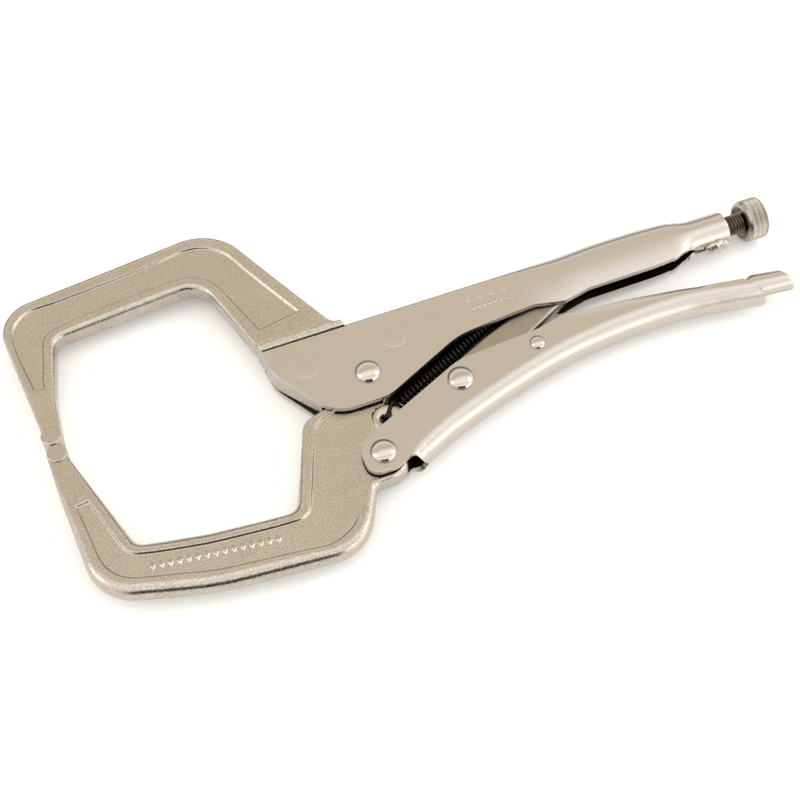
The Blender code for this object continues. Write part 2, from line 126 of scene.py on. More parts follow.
class Slot(Enum):
    """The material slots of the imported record."""

    PLATED = "plated"
    FORGED = "forged"
    BRIGHT = "bright"
    DARK_STEEL = "dark_steel"
    SPRING_BLACK = "spring_black"


# ------------------------------------------------------------------ finishes
def linear(colour: str) -> tuple[float, float, float, float]:
    """Turn an sRGB hex colour into linear red, green, blue and alpha.

    Args:
        colour: Six hex digits.

    Returns:
        The four channel values.
    """
    channels = [int(colour[i:i + 2], 16) / 255.0 for i in (0, 2, 4)]
    low = [c / 12.92 if c <= 0.04045 else ((c + 0.055) / 1.055) ** 2.4 for c in channels]
    return (low[0], low[1], low[2], 1.0)


def add_node(tree: bpy.types.NodeTree, kind: str, settings: dict | None = None,
             links: dict | None = None) -> bpy.types.Node:
    """Add a node with its settings and what feeds it.

    Args:
        tree: The node tree.
        kind: The node's type name.
        settings: Attribute or input names with their values.
        links: Input names or numbers with the output sockets that feed them.

    Returns:
        The new node.
    """
    node = tree.nodes.new(kind)
    for key, value in (settings or {}).items():
        if isinstance(key, str) and hasattr(node, key) and key not in node.inputs:
            setattr(node, key, value)
        else:
            node.inputs[key].default_value = value
    for key, socket in (links or {}).items():
        tree.links.new(socket, node.inputs[key])
    return node


def fresh_tree(owner: bpy.types.Material | bpy.types.World) -> bpy.types.NodeTree:
    """Switch a material or a world to nodes and return its emptied tree."""
    owner.use_nodes = True
    owner.node_tree.nodes.clear()
    return owner.node_tree


# What the slow patches add to the grain, and the range of the two that a finish spans.
PATCH_SHARE = 0.3
MOTTLE_LOW, MOTTLE_HIGH = 0.45, 0.85


@dataclass(frozen=True)
class Metal:
    """A bare or plated steel finish.

    The colour drifts between two tones, softly over patches of the given size
    and sharply from grain to grain. A fine grain roughens it, and a slow swell
    bends its reflections slightly.
    """

    name: str
    tone: str
    second_tone: str
    roughness: float
    roughness_swing: float
    patch_mm: float
    grain_mm: float
    grain_depth_mm: float
    swell_mm: float
    swell_depth_mm: float

    def make(self) -> bpy.types.Material:
        """Build the node material.

        Returns:
            The finished material.
        """
        material = bpy.data.materials.new(self.name)
        tree = fresh_tree(material)
        place = add_node(tree, "ShaderNodeTexCoord").outputs["Object"]
        patch = add_node(tree, "ShaderNodeTexNoise", {
            "Scale": 1.0 / (self.patch_mm * MM), "Detail": 4.0, "Roughness": 0.6,
        }, {"Vector": place}).outputs["Fac"]
        speck = add_node(tree, "ShaderNodeTexNoise", {
            "Scale": 1.0 / (self.grain_mm * MM), "Detail": 2.0, "Roughness": 0.55,
        }, {"Vector": place}).outputs["Fac"]
        both = add_node(tree, "ShaderNodeMath", {"operation": "MULTIPLY_ADD", 1: PATCH_SHARE}, {
            0: patch, 2: speck,
        }).outputs[0]
        tint = add_node(tree, "ShaderNodeMapRange", {
            "From Min": MOTTLE_LOW, "From Max": MOTTLE_HIGH,
        }, {"Value": both}).outputs["Result"]
        colour = add_node(tree, "ShaderNodeMix", {
            "data_type": "RGBA", 6: linear(self.tone), 7: linear(self.second_tone),
        }, {0: tint}).outputs[2]
        rough = add_node(tree, "ShaderNodeMapRange", {
            "From Min": MOTTLE_LOW, "From Max": MOTTLE_HIGH,
            "To Min": self.roughness - self.roughness_swing,
            "To Max": self.roughness + self.roughness_swing,
        }, {"Value": both}).outputs["Result"]
        swell = add_node(tree, "ShaderNodeTexNoise", {
            "Scale": 1.0 / (self.swell_mm * MM), "Detail": 1.0,
        }, {"Vector": place}).outputs["Fac"]
        wavy = add_node(tree, "ShaderNodeBump", {
            "Strength": 1.0, "Distance": self.swell_depth_mm * MM,
        }, {"Height": swell}).outputs["Normal"]
        relief = add_node(tree, "ShaderNodeBump", {
            "Strength": 1.0, "Distance": self.grain_depth_mm * MM,
        }, {"Height": speck, "Normal": wavy}).outputs["Normal"]
        shader = add_node(tree, "ShaderNodeBsdfPrincipled", {"Metallic": 1.0}, {
            "Base Color": colour, "Roughness": rough, "Normal": relief,
        }).outputs["BSDF"]
        add_node(tree, "ShaderNodeOutputMaterial", None, {"Surface": shader})
        return material


@dataclass(frozen=True)
class Paint:
    """A matt painted board for the floor, with a barely visible mottle and a painted glow that is full near
    the middle and fades away from it.
    """

    name: str
    tone: str
    second_tone: str
    roughness: float
    mottle_mm: float
    glow: float
    lit_to: float
    dim_from: float

    def make(self) -> bpy.types.Material:
        """Build the node material.

        Returns:
            The finished material.
        """
        material = bpy.data.materials.new(self.name)
        tree = fresh_tree(material)
        place = add_node(tree, "ShaderNodeTexCoord").outputs["Object"]
        mottle = add_node(tree, "ShaderNodeTexNoise", {
            "Scale": 1.0 / (self.mottle_mm * MM), "Detail": 3.0,
        }, {"Vector": place}).outputs["Fac"]
        colour = add_node(tree, "ShaderNodeMix", {
            "data_type": "RGBA", 6: linear(self.tone), 7: linear(self.second_tone),
        }, {0: mottle}).outputs[2]
        away = add_node(tree, "ShaderNodeVectorMath", {
            "operation": "LENGTH",
        }, {0: place}).outputs["Value"]
        # The board glows by itself, fully out to lit_to metres and fading to nothing at dim_from: a painted
        # pool of light.
        fade = add_node(tree, "ShaderNodeMapRange", {
            "interpolation_type": "SMOOTHSTEP", "From Min": self.lit_to, "From Max": self.dim_from,
            "To Min": self.glow, "To Max": 0.0,
        }, {"Value": away}).outputs["Result"]
        shader = add_node(tree, "ShaderNodeBsdfPrincipled", {
            "Roughness": self.roughness, "Emission Color": (1.0, 1.0, 1.0, 1.0),
        }, {"Base Color": colour, "Emission Strength": fade}).outputs["BSDF"]
        add_node(tree, "ShaderNodeOutputMaterial", None, {"Surface": shader})
        return material


class Finish(Enum):
    """Every finish on the tool."""

    # Nickel over blanked and folded sheet: smooth, warm, with a soft sheen.
    SHEET_NICKEL = Metal("satin_nickel_plated_sheet_steel", "BDB8B2", "B8B2AB",
                         0.26, 0.03, 22.0, 0.5, 0.0015, 9.0, 0.045)
    # Nickel over a shot-blasted drop forging: grainier and a little darker.
    FORGED_NICKEL = Metal("nickel_plated_forged_steel", "C2BCB2", "A2998D",
                          0.23, 0.05, 14.0, 0.62, 0.070, 6.0, 0.08)
    # The same plating darkened as painted shade, for the link that lies in the shade between the handles.
    SHADE_DARKENED_FORGING = Metal("shade_darkened_forged_steel", "A29A8E", "918A7E",
                         0.34, 0.06, 9.0, 0.5, 0.014, 7.0, 0.05)
    # Sheet inside a fold, darkened as painted shade.
    SHADE_DARKENED_INNER_SHEET = Metal("shade_darkened_inner_sheet_steel", "48423B", "36312C",
                        0.46, 0.08, 8.0, 0.6, 0.010, 6.0, 0.03)
    # Nickel over cold-headed rivets and turned parts: nearly polished.
    BRIGHT_NICKEL = Metal("polished_nickel_plated_steel", "BFBAB2", "B8B3AA",
                          0.12, 0.03, 5.0, 0.4, 0.002, 3.0, 0.012)
    # Nickel over a diamond-knurled rim: bright with dull valleys.
    KNURLED_NICKEL = Metal("nickel_plated_knurled_steel", "ABA79D", "9C978C",
                           0.26, 0.06, 3.0, 0.4, 0.004, 4.0, 0.01)
    # Bare cut thread, oiled and darkened; on the knob's inner face the same dark tone is painted shade.
    THREAD_STEEL_AND_SHADE = Metal("oiled_thread_steel_and_shade", "7C756A", "5A5349",
                         0.27, 0.06, 2.5, 0.4, 0.006, 3.0, 0.01)
    # Oil-blackened spring wire.
    SPRING_WIRE = Metal("blackened_spring_steel", "2E2C2A", "1E1C1B",
                        0.30, 0.05, 4.0, 0.4, 0.004, 3.0, 0.005)

    def material(self) -> bpy.types.Material:
        """Return the finish as a material, built once."""
        known = bpy.data.materials.get(self.value.name)
        return known or self.value.make()


# ------------------------------------------------------------------ plan lines
def fillet_line(corners: list[Corner], closed: bool = False, step: float = 5.0) -> Array:
    """Join corner points with straight lines and round each corner.

    At a corner that turns by angle T, the arc of radius r starts r * tan(T / 2)
    before the corner and ends as far behind it.

    Args:
        corners: Points as (x, y, radius).
        closed: Whether the line returns to its start.
        step: Degrees between the points of an arc.

    Returns:
        The points as an array of pairs.
    """
    spots = np.array([c[:2] for c in corners], dtype=float)
    pieces = []
    last = len(corners) - 1
    for i, (spot, (_, _, radius)) in enumerate(zip(spots, corners)):
        if radius <= 0.0 or (not closed and i in (0, last)):
            pieces.append(spot[None, :])
            continue
        back = spots[i - 1] - spot
        ahead = spots[(i + 1) % len(spots)] - spot
        back_length, ahead_length = np.linalg.norm(back), np.linalg.norm(ahead)
        back, ahead = back / back_length, ahead / ahead_length
        half = 0.5 * math.acos(max(-1.0, min(1.0, float(back @ ahead))))
        reach = min(radius / math.tan(half), 0.49 * min(back_length, ahead_length))
        fitted = reach * math.tan(half)
        middle = back + ahead
        centre = spot + middle / np.linalg.norm(middle) * (fitted / math.sin(half))
        first = spot + back * reach - centre
        second = spot + ahead * reach - centre
        start = math.atan2(first[1], first[0])
        sweep = math.atan2(second[1], second[0]) - start
        sweep = (sweep + math.pi) % (2.0 * math.pi) - math.pi
        count = max(2, int(abs(math.degrees(sweep)) / step) + 1)
        turn = start + sweep * np.linspace(0.0, 1.0, count + 1)
        pieces.append(centre + fitted * np.stack([np.cos(turn), np.sin(turn)], -1))
    return np.concatenate(pieces)


def lengths_of(line: Array) -> Array:
    """Return the distance along a line at each of its points."""
    return np.concatenate([[0.0], np.cumsum(np.linalg.norm(np.diff(line, axis=0), axis=1))])


def point_at(line: Array, lengths: Array) -> Array:
    """Return the points of a line at the given distances along it."""
    known = lengths_of(line)
    return np.stack([np.interp(lengths, known, line[:, k]) for k in range(line.shape[1])], -1)


def length_near(line: Array, spots: Array) -> Array:
    """Return how far along a line the point nearest to each spot lies."""
    known = lengths_of(line)
    dense = np.linspace(0.0, known[-1], 4000)
    gap = np.linalg.norm(point_at(line, dense)[None] - spots[:, None], axis=2)
    return dense[np.argmin(gap, axis=1)]


def eased(x: Array, knots: list[float], values: list[float]) -> Array:
    """Run a smooth curve through values without overshoot.

    Between two knots it is the cubic that meets both values, and its slope at a
    knot is the harmonic mean of the slopes beside it, or zero at a turning point.

    Args:
        x: Where the curve is wanted.
        knots: Rising positions.
        values: The value at each knot.

    Returns:
        The curve's values at x.
    """
    k, v = np.array(knots, dtype=float), np.array(values, dtype=float)
    slope = np.diff(v) / np.diff(k)
    same = slope[:-1] * slope[1:] > 0.0
    inner = np.where(same, 2.0 * slope[:-1] * slope[1:] / np.where(same, slope[:-1] + slope[1:], 1.0), 0.0)
    tangent = np.concatenate([[slope[0]], inner, [slope[-1]]])
    spot = np.clip(x, k[0], k[-1])
    i = np.clip(np.searchsorted(k, spot, side="right") - 1, 0, len(k) - 2)
    width = k[i + 1] - k[i]
    t = (spot - k[i]) / width
    return ((2 * t ** 3 - 3 * t ** 2 + 1) * v[i] + (t ** 3 - 2 * t ** 2 + t) * width * tangent[i]
            + (3 * t ** 2 - 2 * t ** 3) * v[i + 1] + (t ** 3 - t ** 2) * width * tangent[i + 1])


def smooth_step(t: Array) -> Array:
    """Rise from 0 to 1 as t does, flat at both ends: 3 t squared less 2 t cubed."""
    t = np.clip(t, 0.0, 1.0)
    return t * t * (3.0 - 2.0 * t)


# ------------------------------------------------------------------ meshes
def grid_quads(rows: int, cols: int, close_cols: bool = False) -> Array:
    """Return the four-sided faces of a grid of points.

    Args:
        rows: Number of rows.
        cols: Number of points in a row.
        close_cols: Whether each row's last point joins its first.

    Returns:
        An array of point numbers, four for each face.
    """
    columns = np.arange(cols if close_cols else cols - 1)
    a, b = np.meshgrid(np.arange(rows - 1), columns, indexing="ij")
    b_next = (b + 1) % cols
    quads = [a * cols + b, a * cols + b_next, (a + 1) * cols + b_next, (a + 1) * cols + b]
    return np.stack(quads, -1).reshape(-1, 4)


def piece_from(name: str, points: Array, faces: list, crease: float = 38.0,
               lining: tuple[int, int] = (0, 0)) -> bpy.types.Object:
    """Make a piece from plan points, closed, facing outwards and shaded smooth.

    Args:
        name: The piece's name.
        points: Plan points in millimetres, three numbers each.
        faces: Lists of point numbers.
        crease: Edges that turn by more than this many degrees stay sharp.
        lining: First and last number of the faces that take the second finish.

    Returns:
        The object, at the origin with its place in its mesh.
    """
    mesh = bpy.data.meshes.new(name)
    mesh.from_pydata((PLAN_ZERO + points * MM).tolist(), [], faces)
    number = np.arange(len(faces))
    lined = ((number >= lining[0]) & (number < lining[1])).astype(np.int32)
    mesh.polygons.foreach_set("material_index", lined)
    shape = bmesh.new()
    shape.from_mesh(mesh)
    bmesh.ops.remove_doubles(shape, verts=shape.verts, dist=MERGE_GAP)
    bmesh.ops.dissolve_degenerate(shape, edges=shape.edges, dist=0.5 * MERGE_GAP)
    loose = [v for v in shape.verts if not v.link_faces]
    bmesh.ops.delete(shape, geom=loose, context="VERTS")
    bmesh.ops.recalc_face_normals(shape, faces=shape.faces)
    shape.to_mesh(mesh)
    shape.free()
    mesh.shade_smooth()
    mesh.set_sharp_from_angle(angle=math.radians(crease))
    piece = bpy.data.objects.new(name, mesh)
    bpy.context.scene.collection.objects.link(piece)
    return piece


def loft(name: str, rings: Array, crease: float = 38.0) -> bpy.types.Object:
    """Join closed rings of points into a body with a flat cap at each end.

    Args:
        name: The piece's name.
        rings: Points by ring and by place round the ring.
        crease: Sharp edge angle in degrees.

    Returns:
        The object.
    """
    rows, cols = rings.shape[:2]
    faces = grid_quads(rows, cols, close_cols=True).tolist()
    faces += [list(range(cols)), list(range((rows - 1) * cols, rows * cols))]
    return piece_from(name, rings.reshape(-1, 3), faces, crease)


def shell(name: str, outer: Array, inner: Array, keep: Array | None = None) -> bpy.types.Object:
    """Join an outer and an inner skin into a sheet with closed edges.

    Args:
        name: The piece's name.
        outer: The outer skin's points by row and column.
        inner: The inner skin's points, in the same order.
        keep: Which faces of the grid are there, where some are not.

    Returns:
        The object; its inner skin takes the second finish.
    """
    rows, cols = outer.shape[:2]
    count = rows * cols
    quads = grid_quads(rows, cols)
    if keep is not None:
        quads = quads[keep.reshape(-1)]
    edges = np.concatenate([quads[:, [k, (k + 1) % 4]] for k in range(4)])
    forward = edges[:, 0] * count + edges[:, 1]
    backward = edges[:, 1] * count + edges[:, 0]
    rim = edges[~np.isin(forward, backward)]
    sides = np.stack([rim[:, 1], rim[:, 0], rim[:, 0] + count, rim[:, 1] + count], -1)
    faces = np.concatenate([quads, quads[:, ::-1] + count, sides]).tolist()
    points = np.concatenate([outer.reshape(-1, 3), inner.reshape(-1, 3)])
    return piece_from(name, points, faces, lining=(len(quads), 2 * len(quads)))


def mirrored(half_profile: Array) -> Array:
    """Return half of a profile of (radius, height) with its mirror image after it."""
    return np.concatenate([half_profile, half_profile[::-1] * [1.0, -1.0]])


def turned(name: str, profile: Array, steps: int, centre: Place, crease: float = 38.0) -> bpy.types.Object:
    """Spin a profile of (radius, height) about an upright axis.

    Args:
        name: The piece's name.
        profile: Pairs from one pole to the other.
        steps: Number of places round the axis.
        centre: The axis's plan point.
        crease: Sharp edge angle in degrees.

    Returns:
        The object.
    """
    angle = np.linspace(0.0, 2.0 * math.pi, steps, endpoint=False)
    radius, height = profile[:, 0][:, None], profile[:, 1][:, None]
    side, up = radius * np.cos(angle), radius * np.sin(angle)
    rings = np.stack([side, up, np.broadcast_to(height, side.shape)], -1) + np.array([*centre, 0.0])
    faces = grid_quads(*rings.shape[:2], close_cols=True).tolist()
    return piece_from(name, rings.reshape(-1, 3), faces, crease)


def swept_wire(name: str, path: Array, radius: float, sides: int = 10) -> bpy.types.Object:
    """Carry a circle along a path, closed by a cap at each end.

    At each point the circle's plane is square to the path; its first direction
    is the last one with the part along the path taken off, so it never twists.

    Args:
        name: The piece's name.
        path: Plan points.
        radius: The wire's radius.
        sides: Points round the wire.

    Returns:
        The object.
    """
    ahead = np.gradient(path, axis=0)
    ahead /= np.linalg.norm(ahead, axis=1)[:, None]
    first = np.zeros_like(path)
    aim = np.cross(ahead[0], [0.31, 0.17, 0.93])
    for i, direction in enumerate(ahead):
        aim = aim - direction * (aim @ direction)
        aim = aim / np.linalg.norm(aim)
        first[i] = aim
    second = np.cross(ahead, first)
    angle = np.linspace(0.0, 2.0 * math.pi, sides, endpoint=False)
    rings = (path[:, None] + radius * (first[:, None] * np.cos(angle)[None, :, None]
                                       + second[:, None] * np.sin(angle)[None, :, None]))
    return loft(name, rings, 60.0)


def flat_plate(name: str, outline: Array, half: float, edge: float) -> bpy.types.Object:
    """Carry a rounded edge round a closed outline, with flat faces inside it.

    At angle q round the edge the outline moves in by edge * (1 - sin q) and
    stands at half - edge * (1 - cos q).

    Args:
        name: The piece's name.
        outline: The closed plan line.
        half: Half of the thickness.
        edge: The radius of the edge.

    Returns:
        The object.
    """
    ahead = np.roll(outline, -1, axis=0) - np.roll(outline, 1, axis=0)
    ahead /= np.linalg.norm(ahead, axis=1)[:, None]
    inward = np.stack([-ahead[:, 1], ahead[:, 0]], -1)
    following = np.roll(outline, -1, axis=0)
    turning = np.sum(outline[:, 0] * following[:, 1] - following[:, 0] * outline[:, 1])
    inward *= np.sign(turning)
    quarter = np.radians(np.linspace(0.0, 90.0, 6))
    shift = np.concatenate([edge * (1 - np.sin(quarter)), edge * (1 - np.sin(quarter[::-1]))])
    rise = np.concatenate([half - edge * (1 - np.cos(quarter)), -half + edge * (1 - np.cos(quarter[::-1]))])
    flat = outline[None] + inward[None] * shift[:, None, None]
    tall = np.broadcast_to(rise[:, None, None], flat.shape[:2] + (1,))
    return loft(name, np.concatenate([flat, tall], -1), 30.0)


def cut(piece: bpy.types.Object, tool: bpy.types.Object, operation: str = "DIFFERENCE") -> None:
    """Cut or join a piece with another body and throw that body away.

    Args:
        piece: The piece that is changed.
        tool: The body that is used up.
        operation: A Boolean operation's name.
    """
    step = piece.modifiers.new("cut", "BOOLEAN")
    step.operation = operation
    step.solver = "EXACT"
    step.object = tool
    bpy.context.view_layer.update()
    shaped = piece.evaluated_get(bpy.context.evaluated_depsgraph_get())
    old = piece.data
    fresh = bpy.data.meshes.new_from_object(shaped)
    piece.modifiers.clear()
    piece.data = fresh
    fresh.name = old.name
    bpy.data.objects.remove(tool, do_unlink=True)


def ease_edges(piece: bpy.types.Object, width: float, angle: float = 50.0) -> None:
    """Round a piece's sharp edges and keep its flat faces flat to the eye.

    Args:
        piece: The piece.
        width: The width of the rounding in millimetres.
        angle: Edges that turn by more than this many degrees are rounded.
    """
    bevel = piece.modifiers.new("rounded edges", "BEVEL")
    bevel.width = width * MM
    bevel.segments = 3
    bevel.limit_method = "ANGLE"
    bevel.angle_limit = math.radians(angle)
    bevel.use_clamp_overlap = True
    piece.modifiers.new("even shading", "WEIGHTED_NORMAL")


def dress(piece: bpy.types.Object, finish: Finish, slot: Slot, body: Body, *nodes: str,
          lining: Finish | None = None) -> bpy.types.Object:
    """Give a piece its finish and tie it to the frame.

    Args:
        piece: The piece.
        finish: Its finish.
        slot: The record's slot that it belongs to; not used.
        body: The body it rides on.
        *nodes: The CAD nodes it stands for.
        lining: The finish of its inner skin, where it has one.

    Returns:
        The same piece.
    """
    piece.data.materials.append(finish.material())
    if lining:
        piece.data.materials.append(lining.material())
    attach(piece, body.value)
    if nodes:
        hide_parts(*nodes)
    LOG.info("%s: %d faces, %s", piece.name, len(piece.data.polygons), finish.value.name)
    return piece


# ------------------------------------------------------------------ forged jaws
@dataclass
class ForgedArm:
    """A drop-forged arm between an inner and an outer edge line.

    Rows run straight across from the inner line to the outer one. Along a row
    the height is the half thickness, less the recess where the row is inside
    it, and both edges are quarter rounds. In a narrow row the edges, rims and
    walls take no more than their shares of its width.
    """

    name: str
    inner: list[Corner]
    outer: list[Corner]
    ties: list[tuple[Place, Place]]
    half: list[float]
    edge: list[float]
    inner_rim: list[float]
    outer_rim: list[float]
    outer_wall: list[float]
    recess_from: float
    recess_to: float
    recess_depth: float = 0.75
    wall: float = 0.9
    spacing: float = 0.8
    crowd: float = 2.2
    edge_share: float = 0.3
    rim_share: float = 0.28
    wall_share: float = 0.12
    extra_rows: list[float] = field(default_factory=list)

    def rows(self) -> tuple[Array, Array, Array]:
        """Place the rows.

        Returns:
            The tie number of each row, its inner points and its outer points.
        """
        inner, outer = fillet_line(self.inner), fillet_line(self.outer)
        inner_ties = length_near(inner, np.array([t[0] for t in self.ties]))
        outer_ties = length_near(outer, np.array([t[1] for t in self.ties]))
        span = np.maximum(np.diff(inner_ties), np.diff(outer_ties))
        counts = np.maximum(2, np.ceil(span / self.spacing)).astype(int)
        runs = [i + np.arange(n) / n for i, n in enumerate(counts)]
        ends = [e + np.linspace(-1.0, 1.0, 15) * self.crowd / span[min(int(e), len(span) - 1)]
                for e in (self.recess_from, self.recess_to)]
        last = len(self.ties) - 1
        tie = np.unique(np.round(np.concatenate(runs + ends + [self.extra_rows, [last]]), 5))
        tie = tie[(tie >= 0.0) & (tie <= last)]
        numbers = np.arange(len(self.ties))
        return (tie, point_at(inner, np.interp(tie, numbers, inner_ties)),
                point_at(outer, np.interp(tie, numbers, outer_ties)))

    def build(self) -> bpy.types.Object:
        """Work out the arm's surface and make its mesh.

        Returns:
            The arm as one closed body.
        """
        tie, start, stop = self.rows()
        numbers = np.arange(len(self.ties))
        across = stop - start
        width = np.linalg.norm(across, axis=1)
        direction = across / width[:, None]
        half = np.interp(tie, numbers, self.half)[:, None]
        edge = np.minimum(np.interp(tie, numbers, self.edge), self.edge_share * width)[:, None]
        width = width[:, None]
        wall, widest_rim = np.minimum(self.wall, self.wall_share * width), self.rim_share * width
        near_wall = np.minimum(np.interp(tie, numbers, self.inner_rim)[:, None], widest_rim)
        far_wall = width - np.minimum(np.interp(tie, numbers, self.outer_rim)[:, None], widest_rim)
        near_wall = np.maximum(near_wall, edge + 0.2)
        far_wall = np.minimum(far_wall, width - edge - 0.2)
        share = np.linspace(0.0, 1.0, 7)
        fine = np.linspace(-0.15, 1.15, 12)
        stations = np.concatenate([
            edge + (near_wall - 0.2 * wall - edge) * share[:-1],
            near_wall + wall * fine,
            near_wall + 1.2 * wall + (far_wall - near_wall - 2.4 * wall) * np.linspace(0.0, 1.0, 16),
            far_wall - wall * fine[::-1],
            far_wall + 0.2 * wall + (width - edge - far_wall - 0.2 * wall) * share[1:],
        ], axis=1)
        middle = 0.5 * (start + stop)
        run = lengths_of(middle)
        begins = np.interp(self.recess_from, tie, run)
        finishes = np.interp(self.recess_to, tie, run)
        ends = smooth_step((run - begins) / self.wall) * smooth_step((finishes - run) / self.wall)
        strength = np.interp(tie, numbers, self.outer_wall)[:, None]
        sunk = smooth_step((stations - near_wall) / wall) * ends[:, None]
        sunk *= 1.0 - (1.0 - smooth_step((far_wall - stations) / wall)) * strength
        height = half - self.recess_depth * sunk
        rim_drop = self.recess_depth * ends[:, None] * (1.0 - strength)
        quarter = np.radians(np.linspace(0.0, 90.0, 7))[None, :]
        first = np.concatenate([edge * (1 - np.cos(quarter[:, :-1])), stations,
                                width - edge * (1 - np.sin(quarter[:, 1:]))], axis=1)
        tall = np.concatenate([half - edge * (1 - np.sin(quarter[:, :-1])), height,
                               half - rim_drop - edge * (1 - np.cos(quarter[:, 1:]))], axis=1)
        flat = start[:, None] + direction[:, None] * first[..., None]
        near = np.concatenate([flat, tall[..., None]], -1)
        far = np.concatenate([flat, -tall[..., None]], -1)[:, ::-1]
        piece = loft(self.name, np.concatenate([near, far], axis=1), 40.0)
        piece.modifiers.new("even shading", "WEIGHTED_NORMAL")
        return piece


@dataclass
class FixedJaw:
    """Upper hooked jaw, with the shoulder that sits on the handle's cheeks."""

    pad: Place = (-111.9, 16.3)

    def arm(self) -> ForgedArm:
        """Return the arm's sizes, from the tip round to the tang."""
        return ForgedArm(
            name="fixed_jaw_forging",
            inner=[(-108.3, 16.4, 0), (-106.7, 32.0, 30), (-100.8, 56.4, 6), (-44.2, 61.8, 10.5),
                   (-32.9, 24.0, 0), (-32.6, 21.5, 0), (-32.3, 12.4, 13), (-19.4, -5.4, 0)],
            outer=[(-114.5, 16.4, 0), (-115.9, 32.0, 60), (-119.6, 75.3, 13.5), (-31.8, 85.4, 20),
                   (-4.6, 28.2, 5), (-1.3, 25.6, 0.6), (-0.5, 22.0, 0), (0.5, 20.6, 0.5),
                   (20.0, 20.3, 1), (20.0, 12.4, 1), (-7.0, 12.0, 3), (-14.5, -2.6, 0)],
            ties=[((-108.3, 16.4), (-114.5, 16.4)), ((-106.7, 32.0), (-115.9, 32.0)),
                  ((-104.0, 44.0), (-117.6, 56.0)), ((-100.8, 56.4), (-119.7, 75.4)),
                  ((-90.0, 57.6), (-100.0, 78.0)), ((-58.0, 60.4), (-54.0, 83.0)),
                  ((-44.2, 61.8), (-31.8, 85.6)), ((-39.0, 45.0), (-17.5, 55.5)),
                  ((-33.9, 27.4), (-5.6, 30.0)), ((-33.45, 25.9), (-1.5, 26.0)),
                  ((-33.2, 25.1), (-1.25, 25.2)), ((-32.5, 22.8), (-0.75, 22.9)),
                  ((-32.65, 22.2), (-0.6, 22.4)), ((-32.6, 21.6), (0.2, 21.0)),
                  ((-32.4, 17.0), (14.0, 20.4)), ((-31.0, 11.5), (20.0, 12.4)),
                  ((-27.0, 5.0), (-6.0, 12.0)), ((-19.4, -5.4), (-14.5, -2.6))],
            half=[FORGING_HALF] * 8 + [4.15, 4.4, 6.3, 5.95, 4.2] + [FORGING_HALF] * 5,
            edge=[1.0, 1.8, 2.3, 2.5, 2.5, 2.4, 2.2, 2.0, 1.4, 1.0, 0.7, 0.5, 0.5, 0.6] + [0.8] * 4,
            inner_rim=[2.0, 3.6, 4.0, 4.4, 4.8, 4.9, 4.6, 4.4] + [5.0] * 10,
            outer_rim=[2.0, 3.2, 3.4, 4.4, 5.4, 5.8, 5.4, 5.0] + [5.0] * 10,
            outer_wall=[1.0] * 18,
            recess_from=1.25, recess_to=7.75,
            extra_rows=[8.9, 8.95, 9.1, 9.3, 9.5, 9.7, 9.85, 9.95, 10.1, 11.1, 11.3, 11.6, 11.9],
        )

    def build(self) -> None:
        """Make the jaw and its pad."""
        jaw = self.arm().build()
        dress(jaw, Finish.FORGED_NICKEL, Slot.FORGED, Body.UPPER_HANDLE, "fixed_jaw")
        make_pad("upper_tip_pad_turned", self.pad, Body.UPPER_HANDLE, "upper_tip_pad")


